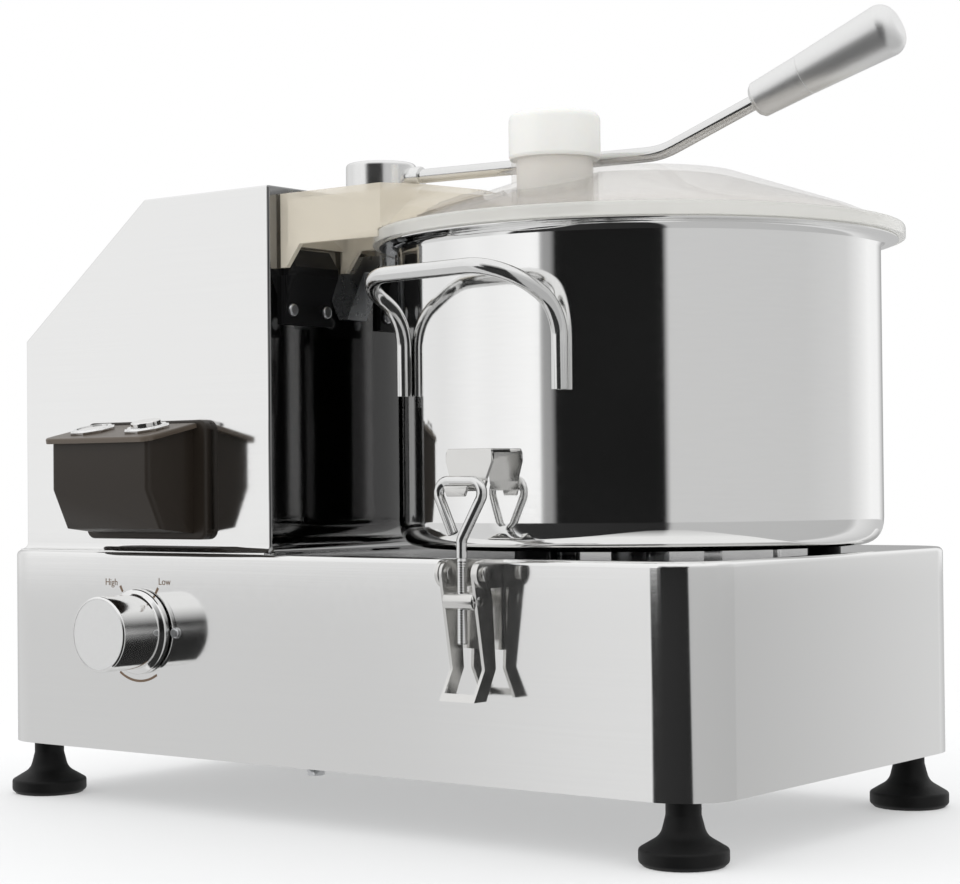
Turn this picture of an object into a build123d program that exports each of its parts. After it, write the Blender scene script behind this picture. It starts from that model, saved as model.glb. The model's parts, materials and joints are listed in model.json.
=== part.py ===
from build123d import *
from math import atan2, cos, degrees, hypot, radians, sin, sqrt
import os

# Countertop bowl cutter for meat and vegetables. Millimetres, +Z up, -Y is the operator's side.
# Working frame: X runs along the base from its left end, Y from its front, Z from the table.
# The finished pieces are moved so that the origin is the middle of the whole model's footprint.

# ---------------------------------------------------------------- running and seating clearances
SEAT_GAP = 0.3          # between pieces that are seated or lie beside each other
PIVOT_GAP = 0.06        # radial clearance of a pin or shaft that turns
FASTENER_GAP = 0.3      # radial clearance of a bolt in its hole

# ---------------------------------------------------------------- base
BASE_LENGTH = 500.0
BASE_DEPTH = 275.0
BASE_TOP = 146.0
SKIRT_BOTTOM = 32.0     # lower edge of the base skirt, and the height of the feet
BASE_CORNER_R = 30.0
BASE_EDGE_R = 3.0
BASE_SHEET = 1.5
FOOT_INSET_X = 24.0
FOOT_INSET_Y = 20.0
FOOT_NECK_R = 8.7
FOOT_FLANGE_R = 22.0
FOOT_NECK_HEIGHT = 7.6
FOOT_FLANGE_HEIGHT = 8.0
FOOT_BOLT_R = 3.0
PLATE_SCREW_R = 2.0

# ---------------------------------------------------------------- tower
TOWER_INSET = 13.0      # from the base's left, front and back faces
TOWER_RIGHT = 214.3
TOWER_TOP = 349.5
TOWER_SHOULDER = 272.0  # height where the left wall turns into the slope
TOWER_SLOPE_TOP_X = 116.0
TOWER_SHEET = 1.5
TOWER_FOLD_R = 1.2
COVE_R = 4.2            # polished cove between the tower and the base top
COVE_LIP = 0.6

# ---------------------------------------------------------------- bowl and spindle
BOWL_X = 374.5
BOWL_Y = BASE_DEPTH / 2
BOWL_R = 132.3          # outside of the wall
BOWL_BOTTOM = 149.0
BOWL_RIM = 314.0
BOWL_WALL = 1.2
BOWL_BOTTOM_R = 15.0
RIM_R = 142.0
RIM_COVE_R = 8.0
CENTRE_TUBE_R = 19.0
CENTRE_TUBE_TOP = 232.0
REST_PAD_R = 9.0
REST_PAD_CIRCLE_R = 100.0
SHAFT_R = 10.0
SHAFT_BOTTOM = 40.0
SHAFT_TOP = 268.0
NECK_R = 16.0           # bearing housing neck that centres the bowl's tube
NECK_TOP = 172.0
HOUSING_R = 31.0
HOUSING_BOTTOM = 74.0
HOUSING_FLANGE_R = 50.0
HOUSING_FLANGE = 8.0
HOUSING_BOLT_CIRCLE_R = 41.0
HOUSING_BOLT_R = 3.0
BEARING_R = 23.5        # outside radius of the ball bearings
BEARING_WIDTH = 14.0
BEARING_RACE = 4.0

# ---------------------------------------------------------------- blades
HUB_R = 27.0
HUB_BOTTOM = 155.0
HUB_CAP_BOTTOM = CENTRE_TUBE_TOP + 2.0
HUB_TOP = 250.0
BLADE_TIP_R = 124.0
BLADE_THICKNESS = 2.5
BLADE_WIDTH = 30.0
BLADE_STEP = 38.0       # height of the upper blade above the lower one
LOWER_BLADE_Z = 157.0
BLADE_COLLAR_R = 34.0
BLADE_NUT_R = 19.0

# ---------------------------------------------------------------- motor and belt drive
MOTOR_X = 112.0
MOTOR_Y = BOWL_Y
MOTOR_R = 56.0
MOTOR_PLATE = 8.0
MOTOR_HEIGHT = 112.0
MOTOR_COWL_HEIGHT = 22.0
MOTOR_SHAFT_R = 8.0
BELT_Z = 56.0           # middle of the belt
BELT_WIDTH = 12.0
BELT_THICKNESS = 4.0
SPINDLE_PULLEY_R = 60.0
MOTOR_PULLEY_R = 24.0
PULLEY_FLANGE = 2.5

# ---------------------------------------------------------------- switch box
SWITCH_X = 120.5
SWITCH_FLANGE_WIDTH = 98.0
SWITCH_FLANGE_BOTTOM = 153.5
SWITCH_FLANGE_TOP = 221.0
SWITCH_FLANGE = 5.5
SWITCH_WIDTH = 79.0
SWITCH_DEPTH = 35.0     # how far the box stands out of its flange
SWITCH_WALL = 2.5
SWITCH_LID = 3.0
SWITCH_LID_RIM = 3.5
SWITCH_TILT = 12.0      # degrees that the button face leans to the operator
BUTTON_PITCH = 44.5
BEZEL_R = 13.5
BUTTON_R = 8.6
BEZEL_COLLAR = 11.0     # length of the threaded collar under a bezel

# ---------------------------------------------------------------- speed knob
KNOB_X = 125.0
KNOB_Z = 101.3
KNOB_R = 21.2
KNOB_LENGTH = 33.0
KNOB_COLLAR_R = 24.2
KNOB_COLLAR = 5.0
KNOB_SHAFT_R = 3.0
PANEL_SCREW_X = 153.0
PANEL_SCREW_R = 3.0

# ---------------------------------------------------------------- bowl latches
LATCH_X = 371.0
PIVOT_OUT = 15.0        # latch pivot in front of the base face
PIVOT_Z = 139.0
EAR_R = 7.0
EAR_SHEET = 2.0
LEVER_WIDTH = 22.0
LEVER_SHEET = 1.8
LEVER_LEG = 9.0
TRUNNION_DROP = 13.4    # trunnion axis below the pivot
TRUNNION_OUT = 16.6
TRUNNION_R = 4.5
WIRE_R = 2.7
CLAW_HALF_WIDTH = 17.5
CLAW_CORNER_R = 6.0
CLAW_TAIL = 5.4         # the loop's open end beside the rod
CLAW_BAR_Z = 185.1
CLAW_NECK_Z = 156.0
ROD_BOTTOM_Z = 104.0
RIVET_R = 2.5
KEEPER_SHEET = 2.0
KEEPER_TOP = 201.3
KEEPER_HALF_WIDTH = 14.5
KEEPER_WAIST = 11.3
KEEPER_THROAT = 6.8     # half width of the strip that passes through the claw's loop
KEEPER_TIP = 5.4        # half width of the hook's lip at its foot
KEEPER_LIP = 0.3        # how far the hook's lip stands over the wire's lowest point

# ---------------------------------------------------------------- bowl handles
HANDLE_ROD_R = 4.1
HANDLE_HALF_ANGLE = 24.0
HANDLE_TURN = -6.8      # degrees from straight ahead
HANDLE_OUT = 37.0
HANDLE_BOTTOM = 230.0
HANDLE_BEND = 271.0
HANDLE_TOP = 290.5
HANDLE_CORNER_R = 25.0
HANDLE_TAPER = 3.4      # how far each end of the grip stands inside its leg

# ---------------------------------------------------------------- lid
LID_R = 145.6
LID_FLANGE = 7.2
LID_WALL = 3.2
DOME_TOP = 352.0
DOME_TOP_R = 50.0
DOME_FOOT_R = 133.0
SPIGOT_WALL = 3.0
SPIGOT_DEPTH = 6.0
GASKET_R = 139.0
GASKET_WIDTH = 5.0
GASKET_HEIGHT = 2.4
ARM_FRONT = 21.0
ARM_CENTRE_Y = 83.0
ARM_TOP = 345.0
ARM_BOTTOM = 316.5
ARM_WALL = 3.0
ARM_GAP = 1.5           # between the arm and the tower
ARM_LEG_BOTTOM = 304.0
RIB_OFFSET = 11.0       # inner ribs beside the arm's middle
TUBE_X = 370.0
TUBE_Y = 67.0
TUBE_R = 23.0
TUBE_WALL = 2.6
TUBE_TOP = 354.8
TUBE_BOTTOM = 322.0
PUSHER_CAP_R = 24.2
PUSHER_TOP = 378.5
PUSHER_BOTTOM = 327.0

# ---------------------------------------------------------------- clamp lever
CLAMP_X = 236.5
CLAMP_HUB_R = 20.0
CLAMP_HUB_TOP = 366.0
STUD_R = 4.0
ROD_R = 4.0
ROD_Z = 357.0
ROD_TURN = 5.9          # degrees from the X axis
ROD_BEND_REACH = 179.0
ROD_RISE = 22.0         # degrees after the bend
GRIP_START = 59.0       # along the raised part of the rod
GRIP_LENGTH = 84.0
GRIP_SMALL_R = 9.6
GRIP_SEAM_R = 10.9
GRIP_END_R = 13.6
GRIP_SEAM = 30.0
NOSE_TOP = 313.0
NOSE_THICKNESS = 9.0
CATCH_SCREW_R = 2.0


# ================================================================ shared shapes
def block(x0, x1, y0, y1, z0, z1):
    return Pos((x0 + x1) / 2, (y0 + y1) / 2, (z0 + z1) / 2) * Box(x1 - x0, y1 - y0, z1 - z0)


def column(x, y, z0, z1, radius):
    return Pos(x, y, (z0 + z1) / 2) * Cylinder(radius, z1 - z0)


def ring(x, y, z0, z1, outer, inner):
    return column(x, y, z0, z1, outer) - column(x, y, z0 - 1, z1 + 1, inner)


def bar_x(x0, x1, y, z, radius):
    return Pos((x0 + x1) / 2, y, z) * Rot(0, 90, 0) * Cylinder(radius, x1 - x0)


def bar_y(x, y0, y1, z, radius):
    return Pos(x, (y0 + y1) / 2, z) * Rot(90, 0, 0) * Cylinder(radius, y1 - y0)


def slab_z(outline, z0, z1):
    return extrude(Pos(0, 0, z0) * outline, amount=z1 - z0)


def slab_x(points, x0, x1):
    face = Plane.YZ.offset(x0) * make_face(Polyline(*points, close=True))
    return extrude(face, amount=x1 - x0)


def slab_y(points, y0, y1):
    face = Plane.XZ.offset(-y0) * make_face(Polyline(*points, close=True))
    return extrude(face, amount=y0 - y1)


def turned(points, x, y):
    face = Plane.XZ * make_face(Polyline(*points, close=True))
    return Pos(x, y, 0) * revolve(face, Axis.Z)


def footprint(inset, radius):
    outline = RectangleRounded(BASE_LENGTH - 2 * inset, BASE_DEPTH - 2 * inset, radius - inset)
    return Pos(BASE_LENGTH / 2, BASE_DEPTH / 2) * outline


def group(shapes):
    """Separate solids that share one node."""
    return Compound([solid for shape in shapes for solid in shape.solids()])


def flip_to_rear(shape):
    return mirror(shape, Plane.XZ.offset(-BASE_DEPTH / 2))


# ================================================================ base
TOWER_LEFT = TOWER_INSET
TOWER_FRONT = TOWER_INSET
TOWER_BACK = BASE_DEPTH - TOWER_INSET
DECK_BOTTOM = BASE_TOP - BASE_SHEET
PLATE_TOP = SKIRT_BOTTOM + BASE_SHEET
MOTOR_HOLE_R = MOTOR_SHAFT_R + 8.0
GLAND_X = 60.0
GLAND_Z = 80.0
GLAND_R = 9.0
FOOT_PLACES = [(x, y)
               for x in (FOOT_INSET_X, BASE_LENGTH - FOOT_INSET_X)
               for y in (FOOT_INSET_Y, BASE_DEPTH - FOOT_INSET_Y)]
PLATE_SCREW_PLACES = [(BASE_LENGTH / 2, 9.0), (BASE_LENGTH / 2, BASE_DEPTH - 9.0)]
HOUSING_BOLT_PLACES = [(BOWL_X + HOUSING_BOLT_CIRCLE_R * cos(radians(a)),
                        BOWL_Y + HOUSING_BOLT_CIRCLE_R * sin(radians(a)))
                       for a in (45, 135, 225, 315)]


def plate_bracket(x, y):
    """Angle bracket inside the skirt that the bottom plate is screwed to."""
    wall = BASE_SHEET if y < BASE_DEPTH / 2 else BASE_DEPTH - BASE_SHEET
    inward = 1 if y < BASE_DEPTH / 2 else -1
    foot = block(x - 12, x + 12, *sorted((wall, wall + inward * 17)), PLATE_TOP, PLATE_TOP + 2)
    back = block(x - 12, x + 12, *sorted((wall, wall + inward * 2)), PLATE_TOP, PLATE_TOP + 18)
    return foot + back - column(x, y, PLATE_TOP - 1, PLATE_TOP + 3, PLATE_SCREW_R + FASTENER_GAP)


def base_housing():
    shell = slab_z(footprint(0, BASE_CORNER_R), SKIRT_BOTTOM, BASE_TOP)
    shell = fillet(shell.edges().group_by(Axis.Z)[-1], BASE_EDGE_R)
    shell -= slab_z(footprint(BASE_SHEET, BASE_CORNER_R), SKIRT_BOTTOM - 1, DECK_BOTTOM)
    shell -= column(BOWL_X, BOWL_Y, DECK_BOTTOM - 1, BASE_TOP + 1, NECK_R + FASTENER_GAP)
    shell -= column(MOTOR_X, MOTOR_Y, DECK_BOTTOM - 1, BASE_TOP + 1, MOTOR_HOLE_R)
    shell -= bar_y(KNOB_X, -1, BASE_SHEET + 1, KNOB_Z, KNOB_SHAFT_R + 1.0)
    shell -= bar_y(PANEL_SCREW_X, -1, BASE_SHEET + 1, KNOB_Z, PANEL_SCREW_R / 2 + FASTENER_GAP)
    shell -= bar_y(GLAND_X, BASE_DEPTH - BASE_SHEET - 1, BASE_DEPTH + 1, GLAND_Z, GLAND_R)
    for x, y in HOUSING_BOLT_PLACES:
        shell -= column(x, y, DECK_BOTTOM - 1, BASE_TOP + 1, HOUSING_BOLT_R + FASTENER_GAP)
    for row in range(5):
        z = 62.0 + 10.0 * row
        shell -= block(170, 230, BASE_DEPTH - BASE_SHEET - 1, BASE_DEPTH + 1, z, z + 4)
    for x, y in PLATE_SCREW_PLACES:
        shell += plate_bracket(x, y)
    return shell


def bottom_plate():
    plate = slab_z(footprint(BASE_SHEET + SEAT_GAP, BASE_CORNER_R), SKIRT_BOTTOM, PLATE_TOP)
    for x, y in FOOT_PLACES:
        plate -= column(x, y, SKIRT_BOTTOM - 1, PLATE_TOP + 1, FOOT_BOLT_R + FASTENER_GAP)
    for x, y in PLATE_SCREW_PLACES:
        plate -= column(x, y, SKIRT_BOTTOM - 1, PLATE_TOP + 1, PLATE_SCREW_R + FASTENER_GAP)
    return plate


def bottom_screws():
    screws = []
    for x, y in PLATE_SCREW_PLACES:
        head = extrude(Pos(x, y, SKIRT_BOTTOM - 4.0) * RegularPolygon(5.0, 6), amount=4.0)
        screws.append(head + column(x, y, SKIRT_BOTTOM - 1, PLATE_TOP + 7, PLATE_SCREW_R))
    return screws


def foot(x, y):
    """Rubber foot: a neck, a concave flare and a rounded flange, on a bolt."""
    flare_top = SKIRT_BOTTOM - FOOT_NECK_HEIGHT
    bolt_depth = 16.0
    flare = ThreePointArc((FOOT_NECK_R, flare_top),
                          (FOOT_NECK_R + 3.6, (flare_top + FOOT_FLANGE_HEIGHT) / 2),
                          (FOOT_FLANGE_R, FOOT_FLANGE_HEIGHT))
    sides = Polyline((FOOT_FLANGE_R, FOOT_FLANGE_HEIGHT), (FOOT_FLANGE_R, 2.5), (FOOT_FLANGE_R - 2.5, 0),
                     (0, 0), (0, SKIRT_BOTTOM - bolt_depth), (FOOT_BOLT_R, SKIRT_BOTTOM - bolt_depth),
                     (FOOT_BOLT_R, SKIRT_BOTTOM), (FOOT_NECK_R, SKIRT_BOTTOM), (FOOT_NECK_R, flare_top))
    profile = Plane.XZ * make_face([flare, sides])
    return Pos(x, y, 0) * revolve(profile, Axis.Z)


def rubber_feet():
    return group([foot(x, y) for x, y in FOOT_PLACES])


def foot_bolts():
    bolts = []
    for x, y in FOOT_PLACES:
        stem = column(x, y, SKIRT_BOTTOM - 16 + SEAT_GAP, PLATE_TOP + 8, FOOT_BOLT_R)
        nut = extrude(Pos(x, y, PLATE_TOP) * RegularPolygon(5.8, 6), amount=5.0)
        bolts.append(stem + nut)
    return bolts


def cable_gland():
    """Empty strain relief at the back: flange, nut and a bore for the lead."""
    wall = BASE_DEPTH
    body = bar_y(GLAND_X, wall - BASE_SHEET - 12, wall + 14, GLAND_Z, GLAND_R - FASTENER_GAP)
    flange = bar_y(GLAND_X, wall, wall + 5, GLAND_Z, GLAND_R + 4)
    nut = Pos(GLAND_X, wall - BASE_SHEET, GLAND_Z) * Rot(90, 0, 0) * extrude(RegularPolygon(13.5, 6), amount=5)
    return body + flange + nut - bar_y(GLAND_X, wall - 30, wall + 30, GLAND_Z, 4.5)


# ================================================================ tower
def tower_block():
    """Outside of the tower: a box with its rear left corner cut by the slope, on a small cove."""
    outline = [(TOWER_LEFT, BASE_TOP), (TOWER_LEFT, TOWER_SHOULDER), (TOWER_SLOPE_TOP_X, TOWER_TOP),
               (TOWER_RIGHT, TOWER_TOP), (TOWER_RIGHT, BASE_TOP)]
    tower = slab_y(outline, TOWER_FRONT, TOWER_BACK)
    sharp = tower.edges().filter_by(lambda e: e.center().Z > BASE_TOP + 1)
    tower = fillet(sharp, TOWER_FOLD_R)
    lip = Pos((TOWER_LEFT + TOWER_RIGHT) / 2, BASE_DEPTH / 2, BASE_TOP) * extrude(
        RectangleRounded(TOWER_RIGHT - TOWER_LEFT + 2 * COVE_R, TOWER_BACK - TOWER_FRONT + 2 * COVE_R,
                         TOWER_FOLD_R + COVE_R), amount=COVE_LIP)
    tower += lip
    inner = tower.edges().filter_by(lambda e: abs(e.center().Z - BASE_TOP - COVE_LIP) < 0.01)
    root = [e for e in inner if TOWER_LEFT - 0.1 < e.center().X < TOWER_RIGHT + 0.1
            and TOWER_FRONT - 0.1 < e.center().Y < TOWER_BACK + 0.1]
    return fillet(root, COVE_R - 0.3)


def tower_cavity():
    t = TOWER_SHEET
    run = TOWER_SLOPE_TOP_X - TOWER_LEFT
    rise = TOWER_TOP - TOWER_SHOULDER
    lean = t * (hypot(run, rise) - run) / rise
    ridge = t * (hypot(run, rise) - rise) / run
    outline = [(TOWER_LEFT + t, BASE_TOP - 1), (TOWER_LEFT + t, TOWER_SHOULDER - ridge),
               (TOWER_SLOPE_TOP_X + lean, TOWER_TOP - t), (TOWER_RIGHT + 1, TOWER_TOP - t),
               (TOWER_RIGHT + 1, BASE_TOP - 1)]
    return slab_y(outline, TOWER_FRONT + t, TOWER_BACK - t)


def tower_cover():
    """Left wall, slope, top, front and back of the tower in one folded sheet."""
    seam = TOWER_RIGHT - TOWER_SHEET
    cover = tower_block() - block(seam, TOWER_RIGHT + 20, -50, BASE_DEPTH + 50, 0, 500) - tower_cavity()
    for side in (-1, 1):
        cover -= bar_y(SWITCH_X + side * 35, TOWER_FRONT - 1, TOWER_FRONT + 5, 190, 2.2)
    cover -= bar_y(SWITCH_X, TOWER_FRONT - 1, TOWER_FRONT + 5, 190, 12)
    for row in range(6):
        z = 190.0 + 14.0 * row
        cover -= block(60, 160, TOWER_BACK - 5, TOWER_BACK + 1, z, z + 4)
    return cover


def bowl_side_panel():
    """Right wall of the tower, which faces the bowl and carries the lid catches."""
    seam = TOWER_RIGHT - TOWER_SHEET
    panel = tower_block() - block(-50, seam, -50, BASE_DEPTH + 50, 0, 500)
    for y, z in CATCH_SCREW_PLACES:
        panel -= bar_x(seam - 1, TOWER_RIGHT + 1, y, z, CATCH_SCREW_R + FASTENER_GAP)
    return panel - bar_x(seam - 1, TOWER_RIGHT + 1, 41.7, 164, 1.8)


# ================================================================ bowl seat and spindle
def bowl_rest_pads():
    pads = []
    for angle in (30, 150, 270):
        x = BOWL_X + REST_PAD_CIRCLE_R * cos(radians(angle))
        y = BOWL_Y + REST_PAD_CIRCLE_R * sin(radians(angle))
        pads.append(column(x, y, BASE_TOP, BOWL_BOTTOM, REST_PAD_R))
    return group(pads)


def bearing_housing():
    """Flanged housing under the deck, with a neck that centres the bowl."""
    flange_bottom = DECK_BOTTOM - HOUSING_FLANGE
    body = column(BOWL_X, BOWL_Y, HOUSING_BOTTOM, DECK_BOTTOM, HOUSING_R)
    body += column(BOWL_X, BOWL_Y, flange_bottom, DECK_BOTTOM, HOUSING_FLANGE_R)
    body += column(BOWL_X, BOWL_Y, HOUSING_BOTTOM, NECK_TOP, NECK_R)
    body -= column(BOWL_X, BOWL_Y, HOUSING_BOTTOM - 1, NECK_TOP + 1, SHAFT_R + 2.0)
    seat = BEARING_R + PIVOT_GAP
    body -= column(BOWL_X, BOWL_Y, HOUSING_BOTTOM - 1, HOUSING_BOTTOM + BEARING_WIDTH, seat)
    body -= column(BOWL_X, BOWL_Y, UPPER_BEARING_Z, DECK_BOTTOM - 10, seat)
    body -= column(BOWL_X, BOWL_Y, HOUSING_BOTTOM + BEARING_WIDTH + 4, UPPER_BEARING_Z - 4, BEARING_R - 3)
    body -= column(BOWL_X, BOWL_Y, NECK_TOP - SEAL_HEIGHT, NECK_TOP + 1, SEAL_R)
    for x, y in HOUSING_BOLT_PLACES:
        body -= column(x, y, flange_bottom - 1, DECK_BOTTOM + 1, HOUSING_BOLT_R + FASTENER_GAP)
    return body


UPPER_BEARING_Z = DECK_BOTTOM - 10 - BEARING_WIDTH
SEAL_HEIGHT = 6.0
SEAL_R = SHAFT_R + 4.0


def housing_bolts():
    bolts = []
    for x, y in HOUSING_BOLT_PLACES:
        shank = column(x, y, DECK_BOTTOM - HOUSING_FLANGE - 8, BASE_TOP, HOUSING_BOLT_R)
        head = column(x, y, BASE_TOP, BASE_TOP + 1.8, HOUSING_BOLT_R * 1.7)
        nut = extrude(Pos(x, y, DECK_BOTTOM - HOUSING_FLANGE - 5) * RegularPolygon(5.8, 6), amount=5)
        bolts.append(shank + head + nut)
    return bolts


def base_fasteners():
    return group(bottom_screws() + foot_bolts() + housing_bolts())


def bearing_outer_rings():
    rings = []
    for z in (HOUSING_BOTTOM, UPPER_BEARING_Z):
        race = ring(BOWL_X, BOWL_Y, z, z + BEARING_WIDTH, BEARING_R, BEARING_R - BEARING_RACE)
        for shield_z in (z + 0.5, z + BEARING_WIDTH - 1.5):
            race += ring(BOWL_X, BOWL_Y, shield_z, shield_z + 1, BEARING_R - 1, SHAFT_R + BEARING_RACE + 0.5)
        rings.append(race)
    return group(rings)


def bearing_inner_rings():
    return group([
        ring(BOWL_X, BOWL_Y, z, z + BEARING_WIDTH, SHAFT_R + BEARING_RACE, SHAFT_R)
        for z in (HOUSING_BOTTOM, UPPER_BEARING_Z)])


def shaft_seal():
    return ring(BOWL_X, BOWL_Y, NECK_TOP - SEAL_HEIGHT, NECK_TOP, SEAL_R, SHAFT_R + PIVOT_GAP)


def spindle_shaft():
    shaft = column(BOWL_X, BOWL_Y, SHAFT_BOTTOM, SHAFT_TOP, SHAFT_R)
    shaft = chamfer(shaft.edges().group_by(Axis.Z)[-1], 1.5)
    flat = SHAFT_R - 1.5
    for side in (-1, 1):
        cut = sorted((BOWL_X + side * flat, BOWL_X + side * 2 * SHAFT_R))
        shaft -= block(*cut, BOWL_Y - SHAFT_R, BOWL_Y + SHAFT_R, HUB_CAP_BOTTOM, HUB_TOP)
    return shaft


def grooved_pulley(x, y, rim, bore):
    """Flanged pulley with V grooves for the ribbed belt."""
    low = BELT_Z - BELT_WIDTH / 2 - 1
    high = BELT_Z + BELT_WIDTH / 2 + 1
    outer = rim + 3.0
    pitch = (high - low) / 5
    points = [(bore, low - PULLEY_FLANGE), (outer, low - PULLEY_FLANGE), (outer, low)]
    for groove in range(5):
        points.append((rim, low + pitch * groove + 0.2))
        points.append((rim - 1.6, low + pitch * (groove + 0.5)))
    points += [(rim, high - 0.2), (outer, high), (outer, high + PULLEY_FLANGE), (bore, high + PULLEY_FLANGE)]
    return turned(points, x, y)


def spindle_pulley():
    pulley = grooved_pulley(BOWL_X, BOWL_Y, SPINDLE_PULLEY_R, SHAFT_R)
    for angle in range(0, 360, 72):
        x = BOWL_X + 36 * cos(radians(angle))
        y = BOWL_Y + 36 * sin(radians(angle))
        pulley -= column(x, y, 0, 100, 12)
    return pulley


def pulley_nut():
    top = BELT_Z - BELT_WIDTH / 2 - 1 - PULLEY_FLANGE
    nut = extrude(Pos(BOWL_X, BOWL_Y, top - 6) * RegularPolygon(17, 6), amount=6)
    return nut - column(BOWL_X, BOWL_Y, top - 7, top + 1, SHAFT_R)


# ================================================================ blades
def blade_hub():
    """Sleeve over the bowl's centre tube, with a shoulder and a key for the shaft's flats."""
    bore = CENTRE_TUBE_R + 2.0
    hub = column(BOWL_X, BOWL_Y, HUB_BOTTOM, HUB_TOP, HUB_R)
    hub = fillet(hub.edges().group_by(Axis.Z)[-1], 5)
    hub += column(BOWL_X, BOWL_Y, HUB_BOTTOM, LOWER_BLADE_Z, BLADE_COLLAR_R - 2)
    hub -= column(BOWL_X, BOWL_Y, HUB_BOTTOM - 1, HUB_CAP_BOTTOM, bore)
    key = column(BOWL_X, BOWL_Y, HUB_CAP_BOTTOM - 1, HUB_TOP + 1, SHAFT_R + 0.05)
    flat = SHAFT_R - 1.5 + 0.05
    key &= block(BOWL_X - flat, BOWL_X + flat, BOWL_Y - 20, BOWL_Y + 20, 0, 400)
    return hub - key


def sickle(angle):
    """Curved cutting blade in plan: a convex cutting edge and a concave back that meet at the tip."""
    root = BLADE_COLLAR_R - 8.0
    tip = (BLADE_TIP_R * cos(radians(38)), BLADE_TIP_R * sin(radians(38)))
    cutting = ThreePointArc((root, -BLADE_WIDTH * 0.45), (BLADE_TIP_R * 0.82, BLADE_WIDTH * 0.55), tip)
    back = ThreePointArc(tip, (BLADE_TIP_R * 0.56, BLADE_WIDTH * 0.92), (root, BLADE_WIDTH * 0.55))
    heel = Line((root, BLADE_WIDTH * 0.55), (root, -BLADE_WIDTH * 0.45))
    return Rot(0, 0, angle) * make_face([cutting, back, heel])


def blade(z, angle):
    """Two sickles on one collar, bevelled along the cutting edges."""
    collar = Circle(BLADE_COLLAR_R) - Circle(HUB_R + 0.05)
    outline = Sketch() + [sickle(angle), sickle(angle + 180)] - Circle(HUB_R + 0.05)
    knife = slab_z(outline, z, z + BLADE_THICKNESS) + slab_z(collar, z, z + BLADE_THICKNESS * 2)
    return Pos(BOWL_X, BOWL_Y, 0) * knife


def blade_spacers():
    """Sleeve between the blades and the retaining ring on top of them."""
    between = LOWER_BLADE_Z + 2 * BLADE_THICKNESS
    above = LOWER_BLADE_Z + BLADE_STEP + 2 * BLADE_THICKNESS
    bore = HUB_R + 0.05
    return group([
        ring(BOWL_X, BOWL_Y, between, LOWER_BLADE_Z + BLADE_STEP, BLADE_COLLAR_R - 1, bore),
        ring(BOWL_X, BOWL_Y, above, above + 7, BLADE_COLLAR_R - 1, bore)])


def blade_nut():
    """Knurled nut that holds the hub down on the shaft."""
    nut = column(BOWL_X, BOWL_Y, HUB_TOP, SHAFT_TOP + 5, BLADE_NUT_R)
    nut = fillet(nut.edges().group_by(Axis.Z)[-1], 4)
    for angle in range(0, 360, 45):
        x = BOWL_X + (BLADE_NUT_R + 2) * cos(radians(angle))
        y = BOWL_Y + (BLADE_NUT_R + 2) * sin(radians(angle))
        nut -= column(x, y, HUB_TOP - 1, SHAFT_TOP + 9, 4.5)
    return nut - column(BOWL_X, BOWL_Y, HUB_TOP - 1, SHAFT_TOP, SHAFT_R)


# ================================================================ motor and belt
def motor_plate():
    plate = block(MOTOR_X - 72, MOTOR_X + 72, MOTOR_Y - 72, MOTOR_Y + 72, BASE_TOP, BASE_TOP + MOTOR_PLATE)
    return plate - column(MOTOR_X, MOTOR_Y, BASE_TOP - 1, BASE_TOP + MOTOR_PLATE + 1, MOTOR_HOLE_R)


def motor_housing():
    low = BASE_TOP + MOTOR_PLATE
    body = column(MOTOR_X, MOTOR_Y, low, low + MOTOR_HEIGHT, MOTOR_R - 6)
    body += column(MOTOR_X, MOTOR_Y, low, low + 10, MOTOR_R)
    body += column(MOTOR_X, MOTOR_Y, low + MOTOR_HEIGHT - 8, low + MOTOR_HEIGHT, MOTOR_R)
    for fin in range(24):
        rib = block(MOTOR_R - 9, MOTOR_R, -1.2, 1.2, low + 5, low + MOTOR_HEIGHT - 4)
        body += Pos(MOTOR_X, MOTOR_Y, 0) * Rot(0, 0, fin * 15) * rib
    bore = MOTOR_SHAFT_R + PIVOT_GAP
    body -= column(MOTOR_X, MOTOR_Y, low - 1, low + MOTOR_HEIGHT + 1, bore)
    return body


def motor_cowl():
    low = BASE_TOP + MOTOR_PLATE + MOTOR_HEIGHT
    cowl = column(MOTOR_X, MOTOR_Y, low, low + MOTOR_COWL_HEIGHT, MOTOR_R - 2)
    cowl = fillet(cowl.edges().group_by(Axis.Z)[-1], 5)
    cowl -= column(MOTOR_X, MOTOR_Y, low - 1, low + MOTOR_COWL_HEIGHT - 2, MOTOR_R - 4)
    for slot in range(8):
        cut = block(16, 44, -3, 3, low + MOTOR_COWL_HEIGHT - 4, low + MOTOR_COWL_HEIGHT + 1)
        cowl -= Pos(MOTOR_X, MOTOR_Y, 0) * Rot(0, 0, slot * 45) * cut
    return cowl


def motor_shaft():
    top = BASE_TOP + MOTOR_PLATE + MOTOR_HEIGHT + 12
    return column(MOTOR_X, MOTOR_Y, BELT_Z - BELT_WIDTH / 2 - 6, top, MOTOR_SHAFT_R)


def motor_fan():
    low = BASE_TOP + MOTOR_PLATE + MOTOR_HEIGHT + 2
    fan = ring(MOTOR_X, MOTOR_Y, low, low + 9, MOTOR_SHAFT_R + 5, MOTOR_SHAFT_R)
    for vane in range(7):
        plate = block(MOTOR_SHAFT_R + 3, MOTOR_R - 10, -0.8, 0.8, low, low + 9)
        fan += Pos(MOTOR_X, MOTOR_Y, 0) * Rot(0, 0, vane * 360 / 7) * plate
    return fan


def motor_pulley():
    return grooved_pulley(MOTOR_X, MOTOR_Y, MOTOR_PULLEY_R, MOTOR_SHAFT_R)


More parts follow.
